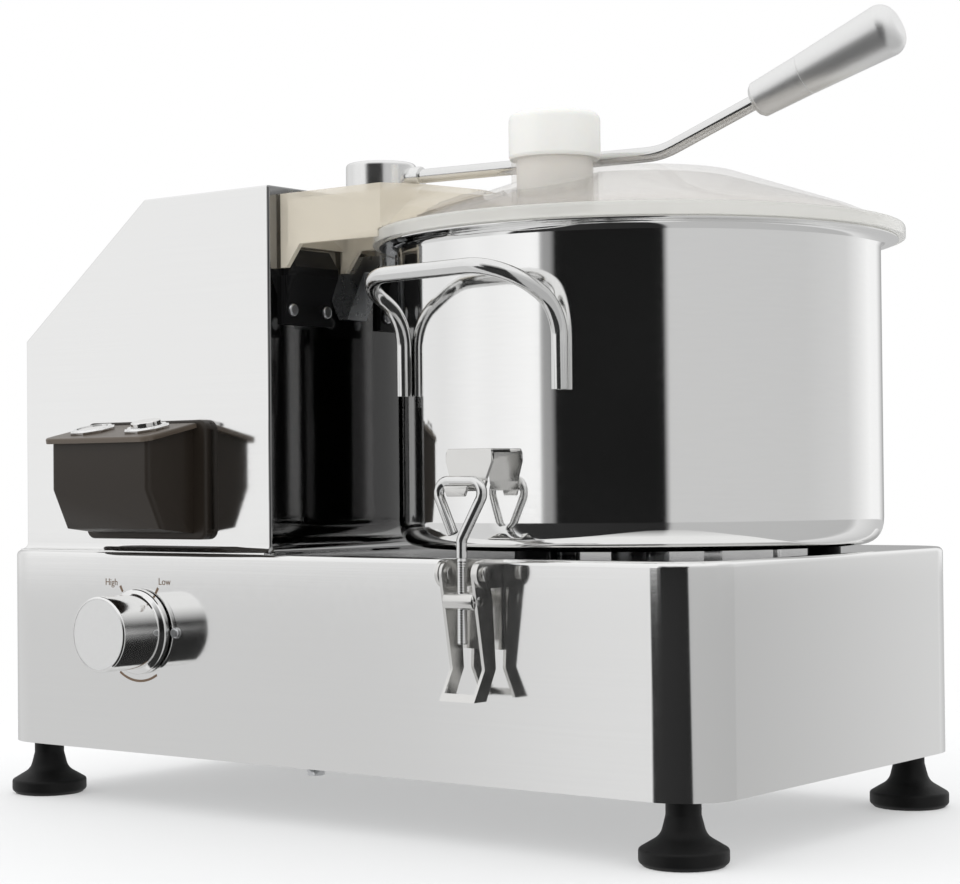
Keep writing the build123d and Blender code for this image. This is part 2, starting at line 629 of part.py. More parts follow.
def belt_outline(big, small):
    """Open belt line round both pulleys, in plan."""
    reach = BOWL_X - MOTOR_X
    lean = (big - small) / reach
    rise = sqrt(1 - lean * lean)
    left, right = MOTOR_X, BOWL_X
    top_right = (right - big * lean, BOWL_Y + big * rise)
    top_left = (left - small * lean, BOWL_Y + small * rise)
    low_left = (left - small * lean, BOWL_Y - small * rise)
    low_right = (right - big * lean, BOWL_Y - big * rise)
    return make_face([Line(low_left, low_right), ThreePointArc(low_right, (right + big, BOWL_Y), top_right),
                      Line(top_right, top_left), ThreePointArc(top_left, (left - small, BOWL_Y), low_left)])


def drive_belt():
    gap = SEAT_GAP
    inner = belt_outline(SPINDLE_PULLEY_R + gap, MOTOR_PULLEY_R + gap)
    outer = belt_outline(SPINDLE_PULLEY_R + gap + BELT_THICKNESS, MOTOR_PULLEY_R + gap + BELT_THICKNESS)
    low = BELT_Z - BELT_WIDTH / 2
    return slab_z(outer, low, low + BELT_WIDTH) - slab_z(inner, low - 1, low + BELT_WIDTH + 1)


def control_board():
    board = block(30, 150, 190, 262, PLATE_TOP + 8, PLATE_TOP + 9.6)
    board += block(40, 64, 200, 232, PLATE_TOP + 9.6, PLATE_TOP + 24)
    board += column(84, 214, PLATE_TOP + 9.6, PLATE_TOP + 40, 11)
    for fin in range(6):
        board += block(104, 140, 200 + 8 * fin, 203 + 8 * fin, PLATE_TOP + 9.6, PLATE_TOP + 34)
    for x in (36, 144):
        for y in (196, 256):
            board += column(x, y, PLATE_TOP, PLATE_TOP + 8, 3.5)
    return board


# ================================================================ switch box
SWITCH_BACK = TOWER_FRONT - SWITCH_FLANGE
SWITCH_FACE = SWITCH_BACK - SWITCH_DEPTH
SWITCH_BACK_TOP = 216.5
SWITCH_FACE_TOP = SWITCH_BACK_TOP - SWITCH_DEPTH * sin(radians(SWITCH_TILT)) / cos(radians(SWITCH_TILT))


def switch_flange():
    """Moulded back plate between the switch box and the tower."""
    height = SWITCH_FLANGE_TOP - SWITCH_FLANGE_BOTTOM
    face = RectangleRounded(SWITCH_FLANGE_WIDTH, height, 6)
    plate = extrude(Rot(90, 0, 0) * face, amount=SWITCH_FLANGE)
    plate = Pos(SWITCH_X, TOWER_FRONT, (SWITCH_FLANGE_TOP + SWITCH_FLANGE_BOTTOM) / 2) * plate
    plate = fillet(plate.edges().group_by(Axis.Y)[0], 1.5)
    return plate - bar_y(SWITCH_X, SWITCH_BACK - 1, TOWER_FRONT + 1, 190, 12)


def switch_solid(wall, above):
    """Box outline with the lower front raked back, less a wall thickness and run on past the top."""
    points = [(SWITCH_BACK, SWITCH_BACK_TOP + above), (SWITCH_FACE + wall, SWITCH_FACE_TOP + above),
              (SWITCH_FACE + wall, 182 + wall * 0.3), (SWITCH_FACE + 10.5 + wall, 160 + wall),
              (SWITCH_BACK, 157 + wall)]
    half = SWITCH_WIDTH / 2 - wall
    return slab_x(points, SWITCH_X - half, SWITCH_X + half)


def switch_box():
    solid = switch_solid(0, 0)
    front_corners = solid.edges().filter_by(lambda e: e.center().Y < SWITCH_FACE + 12 and e.center().Z < 205
                                            and abs(e.center().X - SWITCH_X) > SWITCH_WIDTH / 2 - 1)
    box = fillet(front_corners, 3.0)
    return box - switch_solid(SWITCH_WALL, 10)


def tilted(x, along, height):
    """Place on the tilted button face: along it from the flange, and above it."""
    tilt = radians(SWITCH_TILT)
    y = SWITCH_BACK - along * cos(tilt) - height * sin(tilt)
    z = SWITCH_BACK_TOP - along * sin(tilt) + height * cos(tilt)
    return Pos(x, y, z) * Rot(SWITCH_TILT, 0, 0)


BUTTON_ALONG = 18.5
BUTTON_XS = {"start": SWITCH_X + BUTTON_PITCH / 2, "stop": SWITCH_X - BUTTON_PITCH / 2}


def switch_top_plate():
    """Rounded button plate that overhangs the box, with a shallow rim."""
    reach = SWITCH_DEPTH / cos(radians(SWITCH_TILT)) + SWITCH_LID_RIM
    width = SWITCH_WIDTH + 2 * SWITCH_LID_RIM
    plate = Box(width, reach, SWITCH_LID)
    plate = fillet(plate.edges().filter_by(Axis.Z).group_by(Axis.Y)[0], 6)
    plate = fillet(plate.edges().group_by(Axis.Z)[-1], 1.0)
    middle = SEAT_GAP + reach / 2
    plate = tilted(SWITCH_X, middle, SWITCH_LID / 2) * plate
    for x in BUTTON_XS.values():
        plate -= tilted(x, BUTTON_ALONG, 0) * Cylinder(BUTTON_R + 2.4, 20)
    return plate


def bezel(x):
    """Chrome eight-sided ring round a button."""
    low = extrude(RegularPolygon(BEZEL_R, 8, rotation=22.5), amount=1.4)
    high = Pos(0, 0, 1.4) * extrude(RegularPolygon(BEZEL_R - 1.2, 8, rotation=22.5), amount=1.0, taper=35)
    collar = Pos(0, 0, -BEZEL_COLLAR) * extrude(Circle(BUTTON_R + 2.2), amount=BEZEL_COLLAR)
    body = low + high + collar
    body -= Pos(0, 0, -30) * extrude(Circle(BUTTON_R + SEAT_GAP), amount=60)
    return tilted(x, BUTTON_ALONG, SWITCH_LID) * body


def button_bezels():
    return group([bezel(x) for x in BUTTON_XS.values()])


def push_button(x, raise_by):
    cap = Pos(0, 0, -9) * extrude(Circle(BUTTON_R), amount=9 + 2.0 + raise_by)
    cap = fillet(cap.edges().group_by(Axis.Z)[-1], 0.9)
    return tilted(x, BUTTON_ALONG, SWITCH_LID) * cap


def contact_block(x):
    """Switch contacts clipped under a button's collar, clear of its travel."""
    body = Pos(0, 0, -BEZEL_COLLAR - 11) * Box(20, 22, 16)
    body += Pos(0, 0, -BEZEL_COLLAR - 3) * extrude(Circle(BUTTON_R + 2.2) - Circle(BUTTON_R + SEAT_GAP), amount=3)
    return tilted(x, BUTTON_ALONG, SWITCH_LID) * body


def contact_blocks():
    return group([contact_block(x) for x in BUTTON_XS.values()])


# ================================================================ speed control
def speed_knob():
    """Turned knob with a wide collar at the panel."""
    gap = 1.0
    points = [(KNOB_SHAFT_R, gap), (KNOB_COLLAR_R - 1, gap), (KNOB_COLLAR_R, gap + 1.2),
              (KNOB_COLLAR_R, KNOB_COLLAR - 1.5), (KNOB_COLLAR_R - 1.5, KNOB_COLLAR),
              (KNOB_R, KNOB_COLLAR + 0.6), (KNOB_R, KNOB_LENGTH - 1.0), (KNOB_R - 1.0, KNOB_LENGTH),
              (0, KNOB_LENGTH), (0, KNOB_LENGTH - 6), (KNOB_SHAFT_R, KNOB_LENGTH - 6)]
    face = Plane.XZ * make_face(Polyline(*points, close=True))
    return Pos(KNOB_X, 0, KNOB_Z) * Rot(90, 0, 0) * revolve(face, Axis.Z)


def knob_shaft():
    shaft = bar_y(KNOB_X, -(KNOB_LENGTH - 6), BASE_SHEET + 10, KNOB_Z, KNOB_SHAFT_R)
    return shaft


def speed_potentiometer():
    front = BASE_SHEET
    body = bar_y(KNOB_X, front + 4, front + 24, KNOB_Z, 14)
    bush = bar_y(KNOB_X, front, front + 6, KNOB_Z, 6)
    lugs = block(KNOB_X - 8, KNOB_X + 8, front + 8, front + 10, KNOB_Z - 24, KNOB_Z - 10)
    return body + bush + lugs - bar_y(KNOB_X, front - 1, front + 10 + SEAT_GAP, KNOB_Z, KNOB_SHAFT_R + PIVOT_GAP)


def panel_screw():
    head = bar_y(PANEL_SCREW_X, -2.0, 0, KNOB_Z, PANEL_SCREW_R)
    head = fillet(head.edges().group_by(Axis.Y)[0], 1.2)
    return head + bar_y(PANEL_SCREW_X, -1, BASE_SHEET + 6, KNOB_Z, PANEL_SCREW_R / 2)


# ================================================================ bowl
def bowl_shell():
    """Spun bowl: rounded foot, straight wall, coved rim and a tube in the middle."""
    def wall_line(inset):
        radius = BOWL_R - inset
        foot_r = BOWL_BOTTOM_R - inset
        low = BOWL_BOTTOM + inset
        cove = RIM_COVE_R + inset
        under_rim = BOWL_RIM - BOWL_WALL + inset
        start = (CENTRE_TUBE_R, low)
        lines = [Line(start, (radius - foot_r, low)),
                 RadiusArc((radius - foot_r, low), (radius, low + foot_r), -foot_r),
                 Line((radius, low + foot_r), (radius, under_rim - cove)),
                 RadiusArc((radius, under_rim - cove), (radius + cove, under_rim), cove),
                 Line((radius + cove, under_rim), (RIM_R, under_rim))]
        return lines
    outside = wall_line(0)
    inside = wall_line(BOWL_WALL)
    ends = [Line((CENTRE_TUBE_R, BOWL_BOTTOM), (CENTRE_TUBE_R, BOWL_BOTTOM + BOWL_WALL)),
            Line((RIM_R, BOWL_RIM - BOWL_WALL), (RIM_R, BOWL_RIM))]
    profile = Plane.XZ * make_face(outside + inside + ends)
    bowl = Pos(BOWL_X, BOWL_Y, 0) * revolve(profile, Axis.Z)
    bowl += ring(BOWL_X, BOWL_Y, BOWL_BOTTOM, CENTRE_TUBE_TOP, CENTRE_TUBE_R, NECK_R + SEAT_GAP)
    return bowl


def handle(turn):
    """Bent rod handle: two legs on the wall, bent out and up to a level grip."""
    leg = BOWL_R + HANDLE_ROD_R + 0.1
    side = leg * sin(radians(HANDLE_HALF_ANGLE))
    out = leg * cos(radians(HANDLE_HALF_ANGLE))
    grip = side - HANDLE_TAPER
    path = FilletPolyline((-side, -out, HANDLE_BOTTOM), (-side, -out, HANDLE_BEND),
                          (-grip, -out - HANDLE_OUT, HANDLE_TOP), (grip, -out - HANDLE_OUT, HANDLE_TOP),
                          (side, -out, HANDLE_BEND), (side, -out, HANDLE_BOTTOM), radius=HANDLE_CORNER_R)
    rod = sweep(Plane((-side, -out, HANDLE_BOTTOM)) * Circle(HANDLE_ROD_R), path)
    return Pos(BOWL_X, BOWL_Y, 0) * Rot(0, 0, turn) * rod


def bowl_keeper():
    """Stamped hook on the bowl wall for the latch's claw."""
    half = KEEPER_SHEET / 2
    throat = CLAW_BAR_Z - WIRE_R - SEAT_GAP
    lip = -TRUNNION_OUT - WIRE_R - SEAT_GAP - half
    wall = BOWL_Y - sqrt(BOWL_R ** 2 - (LATCH_X - BOWL_X) ** 2) - SEAT_GAP
    path = Polyline((wall + 3, KEEPER_TOP - half), (-9.2, KEEPER_TOP - half), (-10.6, throat + 3),
                    (-12.4, throat - half), (lip, throat - half))
    sheet = Plane.YZ.offset(LATCH_X - KEEPER_HALF_WIDTH) * make_face(
        offset(path, half, kind=Kind.ARC, side=Side.BOTH))
    hook = extrude(sheet, amount=2 * KEEPER_HALF_WIDTH)
    waist = [(-KEEPER_HALF_WIDTH, 199), (-KEEPER_HALF_WIDTH + 1.5, KEEPER_TOP + 1),
             (KEEPER_HALF_WIDTH - 1.5, KEEPER_TOP + 1), (KEEPER_HALF_WIDTH, 199), (KEEPER_HALF_WIDTH, 195),
             (KEEPER_WAIST, 186.5), (KEEPER_WAIST, throat - 8), (-KEEPER_WAIST, throat - 8),
             (-KEEPER_WAIST, 186.5), (-KEEPER_HALF_WIDTH, 195)]
    outline = slab_y([(LATCH_X + x, z) for x, z in waist], -40, 40)
    low, high = throat - 4.6, CLAW_BAR_Z - WIRE_R + KEEPER_LIP
    sides = [(-KEEPER_TIP, low), (KEEPER_TIP, low), (KEEPER_TIP + 2.0, high), (-KEEPER_TIP - 2.0, high)]
    tongue = slab_y([(LATCH_X + x, z) for x, z in sides], lip - half, lip + half)
    tongue = fillet(tongue.edges().filter_by(Axis.X), 0.8)
    hook = hook & outline
    for side in (-1, 1):
        x0, x1 = sorted((LATCH_X + side * KEEPER_THROAT, LATCH_X + side * 20))
        hook -= block(x0, x1, lip - half - 1, -13.5, throat - 9, throat + 2.5)
    return hook + tongue - column(BOWL_X, BOWL_Y, 0, 400, BOWL_R + 0.15)


# ================================================================ toggle latch
def latch_bracket():
    """Back plate on the base with two ears for the pivot."""
    outer = LEVER_WIDTH / 2 + SEAT_GAP + EAR_SHEET
    inner = outer - EAR_SHEET
    low = PIVOT_Z - 38
    back = block(LATCH_X - outer, LATCH_X + outer, -EAR_SHEET, 0, low, PIVOT_Z + EAR_R)
    bracket = back
    for side in (-1, 1):
        x0, x1 = sorted((LATCH_X + side * inner, LATCH_X + side * outer))
        ear = block(x0, x1, -PIVOT_OUT, 0, PIVOT_Z - EAR_R, PIVOT_Z + EAR_R)
        ear += bar_x(x0, x1, -PIVOT_OUT, PIVOT_Z, EAR_R)
        bracket += ear
    return bracket - bar_x(LATCH_X - outer - 1, LATCH_X + outer + 1, -PIVOT_OUT, PIVOT_Z, RIVET_R + 0.05)


def latch_pins():
    """Two stub rivets, so that the claw's rod can pass between them."""
    outer = LEVER_WIDTH / 2 + SEAT_GAP + EAR_SHEET
    inner = LEVER_WIDTH / 2 - LEVER_SHEET
    pins = []
    for side in (-1, 1):
        spans = ((inner - 1.0, outer + 1.0, RIVET_R), (outer, outer + 1.4, RIVET_R + 1.3),
                 (inner - 1.4, inner - SEAT_GAP, RIVET_R + 0.8))
        pin = Part()
        for low, high, radius in spans:
            x0, x1 = sorted((LATCH_X + side * low, LATCH_X + side * high))
            pin += bar_x(x0, x1, -PIVOT_OUT, PIVOT_Z, radius)
        pins.append(pin)
    return group(pins)


LEVER_KINK_Z = PIVOT_Z - 47.5
LEVER_END_Z = PIVOT_Z - 63.0
LEVER_KINK_OUT = 8.5
LEVER_END_OUT = 17.5
LEVER_BAR = 3.8         # height of the bar across the feet


def lever_side_outline():
    """Side plate of the lever: round head, tapering body and a leg that kinks outwards."""
    half = LEVER_LEG / 2
    body = make_face(Polyline(
        (-PIVOT_OUT - 6.4, PIVOT_Z - 1), (-PIVOT_OUT + 6.4, PIVOT_Z - 1), (-6.2, PIVOT_Z - 14),
        (-LEVER_KINK_OUT + half, LEVER_KINK_Z), (-LEVER_END_OUT + half + 1, LEVER_END_Z),
        (-LEVER_END_OUT - half, LEVER_END_Z), (-LEVER_KINK_OUT - half, LEVER_KINK_Z), close=True))
    head = Pos(-PIVOT_OUT, PIVOT_Z) * Circle(6.5)
    holes = Pos(-PIVOT_OUT, PIVOT_Z) * Circle(RIVET_R + PIVOT_GAP)
    holes += Pos(-TRUNNION_OUT, PIVOT_Z - TRUNNION_DROP) * Circle(RIVET_R + PIVOT_GAP)
    return body + head - holes


def latch_lever():
    """Finger lever: two side plates and the cross-bar that joins their feet."""
    half = LEVER_WIDTH / 2
    lever = Part()
    for start in (LATCH_X - half, LATCH_X + half - LEVER_SHEET):
        lever += extrude(Plane.YZ.offset(start) * lever_side_outline(), amount=LEVER_SHEET)
    foot = -LEVER_END_OUT - LEVER_LEG / 2
    lean = LEVER_BAR * (LEVER_END_OUT - LEVER_KINK_OUT) / (LEVER_KINK_Z - LEVER_END_Z)
    corners = [(foot, LEVER_END_Z), (foot + LEVER_SHEET, LEVER_END_Z),
               (foot + LEVER_SHEET + lean, LEVER_END_Z + LEVER_BAR), (foot + lean, LEVER_END_Z + LEVER_BAR)]
    return lever + slab_x(corners, LATCH_X - half, LATCH_X + half)


def latch_trunnion():
    """Cross barrel that carries the claw, with stub pins in the lever's plates."""
    z = PIVOT_Z - TRUNNION_DROP
    inner = LEVER_WIDTH / 2 - LEVER_SHEET - SEAT_GAP
    outer = LEVER_WIDTH / 2 - 0.1
    barrel = bar_x(LATCH_X - inner, LATCH_X + inner, -TRUNNION_OUT, z, TRUNNION_R)
    barrel += bar_x(LATCH_X - outer, LATCH_X + outer, -TRUNNION_OUT, z, RIVET_R)
    return barrel - column(LATCH_X, -TRUNNION_OUT, z - 10, z + 10, WIRE_R)


def latch_claw():
    """Wire claw: a straight rod bent into an open loop that hooks over the keeper."""
    path = FilletPolyline((LATCH_X, -TRUNNION_OUT, ROD_BOTTOM_Z), (LATCH_X, -TRUNNION_OUT, CLAW_NECK_Z),
                          (LATCH_X + CLAW_HALF_WIDTH, -TRUNNION_OUT, CLAW_BAR_Z),
                          (LATCH_X - CLAW_HALF_WIDTH, -TRUNNION_OUT, CLAW_BAR_Z),
                          (LATCH_X - CLAW_TAIL, -TRUNNION_OUT, CLAW_NECK_Z + 3), radius=CLAW_CORNER_R)
    return sweep(Plane((LATCH_X, -TRUNNION_OUT, ROD_BOTTOM_Z)) * Circle(WIRE_R), path)


# ================================================================ lid catches on the tower
CATCH_YS = (ARM_CENTRE_Y - 40.7, ARM_CENTRE_Y + 40.7)
CATCH_HALF = 17.5
CATCH_SCREW_Z = 281.0
CATCH_SCREW_PLACES = [(y + side * 14.0, CATCH_SCREW_Z) for y in CATCH_YS for side in (-1, 1)]


def lid_catch(y):
    """Moulded wedge bracket that the arm's ribs straddle."""
    wall = TOWER_RIGHT
    plate = block(wall, wall + 3, y - CATCH_HALF - 2, y + CATCH_HALF + 2, 273, 300)
    wedge = slab_y([(wall, 285), (wall + 3, 285), (wall + 9.5, 300), (wall + 9.5, 305), (wall + 4, 313),
                    (wall + 2.5, 315), (wall, 315)], y - CATCH_HALF, y + CATCH_HALF)
    ridge = wedge.edges().filter_by(Axis.Y).group_by(Axis.X)[-1]
    wedge = fillet(ridge, 1.2)
    body = plate + wedge
    for side in (-1, 1):
        body -= bar_x(wall - 1, wall + 4, y + side * 14, CATCH_SCREW_Z, CATCH_SCREW_R + FASTENER_GAP)
    return body


def cover_screws():
    screws = [panel_screw()]
    for y, z in CATCH_SCREW_PLACES:
        head = bar_x(TOWER_RIGHT + 3, TOWER_RIGHT + 5, y, z, 3.6)
        head = fillet(head.edges().group_by(Axis.X)[-1], 1.2)
        screws.append(head + bar_x(TOWER_RIGHT - 8, TOWER_RIGHT + 4, y, z, CATCH_SCREW_R))
    return group(screws)


def clamp_bracket():
    """Steel nose on the tower that takes the clamp's stud."""
    wall = TOWER_RIGHT
    tip = CLAMP_X + 11
    half = RIB_OFFSET - 2.5
    nose = block(wall, tip, ARM_CENTRE_Y - half, ARM_CENTRE_Y + half, NOSE_TOP - NOSE_THICKNESS, NOSE_TOP)
    nose = fillet(nose.edges().filter_by(Axis.Z).group_by(Axis.X)[-1], 6)
    rake = slab_y([(wall, NOSE_TOP - NOSE_THICKNESS - 26), (wall + 3, NOSE_TOP - NOSE_THICKNESS - 26),
                   (wall + 16, NOSE_TOP - NOSE_THICKNESS), (wall, NOSE_TOP - NOSE_THICKNESS)],
                  ARM_CENTRE_Y - half, ARM_CENTRE_Y + half)
    nose = nose + rake - column(BOWL_X, BOWL_Y, 0, 500, RIM_R + 0.8)
    return nose - column(CLAMP_X, ARM_CENTRE_Y, NOSE_TOP - 20, NOSE_TOP + 1, STUD_R + PIVOT_GAP)


# ================================================================ lid
LID_BOTTOM = BOWL_RIM + SEAT_GAP
FLANGE_TOP = LID_BOTTOM + LID_FLANGE


def dome(inset):
    """Crowned frustum of the lid, less a wall thickness."""
    top = DOME_TOP - inset
    foot = FLANGE_TOP - 2
    points = [(0, foot), (DOME_FOOT_R + 3 - inset, foot), (DOME_FOOT_R - inset, FLANGE_TOP + 2.5),
              (DOME_FOOT_R - 14 - inset, FLANGE_TOP + 8.6), (DOME_TOP_R + 8 - inset * 0.4, top - 0.9),
              (DOME_TOP_R - 4, top), (0, top)]
    return turned(points, BOWL_X, BOWL_Y)


def arm_block(inset):
    """Box that reaches from the dome to the tower, spread towards the dome by sloping facets."""
    left = TOWER_RIGHT + ARM_GAP + inset
    front = ARM_FRONT + inset
    back = 2 * ARM_CENTRE_Y - ARM_FRONT - inset
    low = FLANGE_TOP - 0.5 - inset * 2
    high = ARM_TOP - inset
    top = [(left, front), (288 - inset, front), (301.6 - inset, 42.5), (310.7, ARM_CENTRE_Y),
           (301.6, 2 * ARM_CENTRE_Y - 42.5), (288, back), (left, back)]
    bottom = [(left, front), (288 - inset, front), (292 - inset, front - 1), (336 - inset, 7 + inset * 2),
              (344 - inset, 120), (300, back), (left, back)]
    faces = [Plane.XY.offset(z) * make_face(Polyline(*points, close=True))
             for z, points in ((low, bottom), (high, top))]
    return loft(faces, ruled=True)


def arm_skirt():
    """Lower part of the arm: outer walls below the flange level, ribs and legs at the tower."""
    left = TOWER_RIGHT + ARM_GAP
    back = 2 * ARM_CENTRE_Y - ARM_FRONT
    skirt = Part()
    rib_ys = (ARM_FRONT, ARM_CENTRE_Y - RIB_OFFSET - ARM_WALL / 2 + 0.5, ARM_CENTRE_Y + RIB_OFFSET - 0.5 - ARM_WALL / 2,
              back - ARM_WALL)
    for y in rib_ys:
        edge = [(left, ARM_LEG_BOTTOM), (left + 4, ARM_LEG_BOTTOM), (left + 14, ARM_BOTTOM), (286, ARM_BOTTOM),
                (286, ARM_TOP - 1), (left, ARM_TOP - 1)]
        skirt += slab_y(edge, y, y + ARM_WALL)
    skirt += block(left, left + ARM_WALL, ARM_FRONT, back, ARM_BOTTOM, ARM_TOP - 1)
    reach = column(BOWL_X, BOWL_Y, 0, 500, LID_R - 2)
    return skirt - reach


def lid_shell():
    """Clear lid: flange, spigot, dome, feed tube and the arm to the tower."""
    flange = ring(BOWL_X, BOWL_Y, LID_BOTTOM, FLANGE_TOP, LID_R, DOME_FOOT_R - LID_WALL)
    flange = fillet(flange.edges().filter_by(GeomType.CIRCLE).group_by(Axis.Z)[-1].sort_by(
        SortBy.RADIUS)[-1:], 2.5)
    spigot_r = BOWL_R - BOWL_WALL - 1.0
    spigot = ring(BOWL_X, BOWL_Y, LID_BOTTOM - SPIGOT_DEPTH, FLANGE_TOP, spigot_r, spigot_r - SPIGOT_WALL)
    groove = ring(BOWL_X, BOWL_Y, LID_BOTTOM - 1, LID_BOTTOM + GASKET_HEIGHT - SEAT_GAP,
                  GASKET_R, GASKET_R - GASKET_WIDTH)
    arm = arm_block(0) - arm_block(ARM_WALL) + arm_skirt() - dome(0)
    boss = column(CLAMP_X, ARM_CENTRE_Y, ARM_BOTTOM, ARM_TOP, STUD_R + 3.5)
    tube = column(TUBE_X, TUBE_Y, TUBE_BOTTOM, TUBE_TOP, TUBE_R)
    lid = dome(0) - dome(LID_WALL) + flange - groove + spigot + arm + boss + tube
    lid -= column(TUBE_X, TUBE_Y, TUBE_BOTTOM - 1, TUBE_TOP + 1, TUBE_R - TUBE_WALL)
    lid -= column(CLAMP_X, ARM_CENTRE_Y, ARM_BOTTOM - 5, ARM_TOP + 5, STUD_R + SEAT_GAP)
    return lid


def lid_gasket():
    return ring(BOWL_X, BOWL_Y, BOWL_RIM, LID_BOTTOM + GASKET_HEIGHT - SEAT_GAP,
                GASKET_R - 0.1, GASKET_R - GASKET_WIDTH + 0.1)


def feed_pusher():
    """White pusher: a plug in the feed tube under a rounded cap."""
    plug_r = TUBE_R - TUBE_WALL - SEAT_GAP
    cap = column(TUBE_X, TUBE_Y, TUBE_TOP, PUSHER_TOP, PUSHER_CAP_R)
    cap = fillet(cap.edges().group_by(Axis.Z)[-1], 4.5)
    plug = column(TUBE_X, TUBE_Y, PUSHER_BOTTOM, TUBE_TOP + 1, plug_r)
    plug = fillet(plug.edges().group_by(Axis.Z)[0], 2)
    hollow = column(TUBE_X, TUBE_Y, PUSHER_BOTTOM - 1, PUSHER_TOP - 5, plug_r - 3)
    return cap + plug - hollow


# ================================================================ clamp lever
HUB_SEAT = ARM_TOP + SEAT_GAP
ROD_AXIS = Plane(origin=(CLAMP_X, ARM_CENTRE_Y, ROD_Z),
                 x_dir=(cos(radians(ROD_TURN)), sin(radians(ROD_TURN)), 0), z_dir=(0, 0, 1))


def rod_point(reach, rise):
    """Place in the lever's upright plane, from the hub's axis at the rod's height."""
    return (CLAMP_X + reach * cos(radians(ROD_TURN)), ARM_CENTRE_Y + reach * sin(radians(ROD_TURN)), ROD_Z + rise)


def along_grip(distance):
    return rod_point(ROD_BEND_REACH + distance * cos(radians(ROD_RISE)), distance * sin(radians(ROD_RISE)))


def clamp_hub():
    hub = column(CLAMP_X, ARM_CENTRE_Y, HUB_SEAT, CLAMP_HUB_TOP, CLAMP_HUB_R)
    hub = fillet(hub.edges().group_by(Axis.Z)[-1], 2.5)
    hub = fillet(hub.edges().group_by(Axis.Z)[0], 0.8)
    boss = Plane(origin=rod_point(CLAMP_HUB_R - 4, 0), z_dir=ROD_AXIS.x_dir) * Cylinder(
        ROD_R + 1.6, 12, align=(Align.CENTER, Align.CENTER, Align.MIN))
    hub += boss
    hub -= column(CLAMP_X, ARM_CENTRE_Y, HUB_SEAT - 1, HUB_SEAT + 14, STUD_R)
    hub -= Plane(origin=rod_point(8, 0), z_dir=ROD_AXIS.x_dir) * Cylinder(
        ROD_R, 40, align=(Align.CENTER, Align.CENTER, Align.MIN))
    return hub


def clamp_stud():
    stud = column(CLAMP_X, ARM_CENTRE_Y, NOSE_TOP - NOSE_THICKNESS, HUB_SEAT + 14, STUD_R)
    return chamfer(stud.edges().group_by(Axis.Z)[0], 1)


def lever_rod():
    path = FilletPolyline(rod_point(9, 0), rod_point(ROD_BEND_REACH, 0), along_grip(GRIP_START + 30), radius=45)
    start = Plane(origin=rod_point(9, 0), z_dir=ROD_AXIS.x_dir)
    return sweep(start * Circle(ROD_R), path)


def lever_grip():
    """Turned aluminium grip: tapered nose, seam line and a rounded end."""
    direction = Vector(*along_grip(1)) - Vector(*along_grip(0))
    nose = Polyline((ROD_R, 0), (GRIP_SMALL_R - 2.2, 0), (GRIP_SMALL_R, 2.2), (GRIP_SEAM_R, GRIP_SEAM - 0.6),
                    (GRIP_SEAM_R - 0.5, GRIP_SEAM), (GRIP_SEAM_R, GRIP_SEAM + 0.6),
                    (GRIP_END_R, GRIP_LENGTH - 8))
    end = RadiusArc((GRIP_END_R, GRIP_LENGTH - 8), (GRIP_END_R - 8, GRIP_LENGTH), -8)
    core = Polyline((GRIP_END_R - 8, GRIP_LENGTH), (0, GRIP_LENGTH), (0, 30), (ROD_R, 30), (ROD_R, 0))
    profile = Plane.XZ * make_face([nose, end, core])
    grip = revolve(profile, Axis.Z)
    return Plane(origin=along_grip(GRIP_START), z_dir=direction) * grip


# ================================================================ all the pieces
def front_and_rear(shape):
    return group([shape, flip_to_rear(shape)])


def all_pieces():
    pieces = {}
    for piece in (base_housing, bottom_plate, base_fasteners, rubber_feet, cable_gland, tower_cover,
                  bowl_side_panel, bowl_rest_pads, bearing_housing, bearing_outer_rings,
                  bearing_inner_rings, shaft_seal, spindle_shaft, spindle_pulley, pulley_nut, blade_hub,
                  blade_spacers, blade_nut, motor_plate, motor_housing, motor_cowl, motor_shaft,
                  motor_fan, motor_pulley, drive_belt, control_board, switch_flange, switch_box,
                  switch_top_plate, button_bezels, contact_blocks, speed_knob, knob_shaft,
                  speed_potentiometer, bowl_shell, cover_screws, clamp_bracket, lid_shell, lid_gasket,
                  feed_pusher, clamp_hub, clamp_stud, lever_rod, lever_grip):
        pieces[piece.__name__] = piece()
    pieces["lower_blade"] = blade(LOWER_BLADE_Z, 20)
    pieces["upper_blade"] = blade(LOWER_BLADE_Z + BLADE_STEP, 110)
    pieces["start_button"] = push_button(BUTTON_XS["start"], 3.2)
    pieces["stop_button"] = push_button(BUTTON_XS["stop"], 0.0)
    pieces["lid_catches"] = group([lid_catch(y) for y in CATCH_YS])
    pieces["bowl_handles"] = group([handle(HANDLE_TURN), handle(HANDLE_TURN + 180)])
    pieces["bowl_keepers"] = front_and_rear(bowl_keeper())
    pieces["latch_brackets"] = front_and_rear(latch_bracket())
    pieces["latch_pins"] = front_and_rear(latch_pins())
    for piece in (latch_lever, latch_trunnion, latch_claw):
        pieces["front_" + piece.__name__] = piece()
        pieces["rear_" + piece.__name__] = flip_to_rear(piece())
    return pieces


def main():
    pieces = all_pieces()
    box = group(pieces.values()).bounding_box()
    origin_x = round(box.center().X, 1)
    origin_y = round(box.center().Y, 1)
    home = Pos(-origin_x, -origin_y, 0)
    print("origin in the working frame: %.1f %.1f %.4f" % (origin_x, origin_y, box.min.Z))
    print("size: %.2f %.2f %.2f, pieces: %d" % (*box.size, len(pieces)))
    os.makedirs("parts", exist_ok=True)
    for name, shape in pieces.items():
        export_step(home * shape, "parts/" + name + ".step")


main()
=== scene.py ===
import json
from math import cos, pi, radians, sin

import bmesh
import bpy
from mathutils import Matrix, Vector


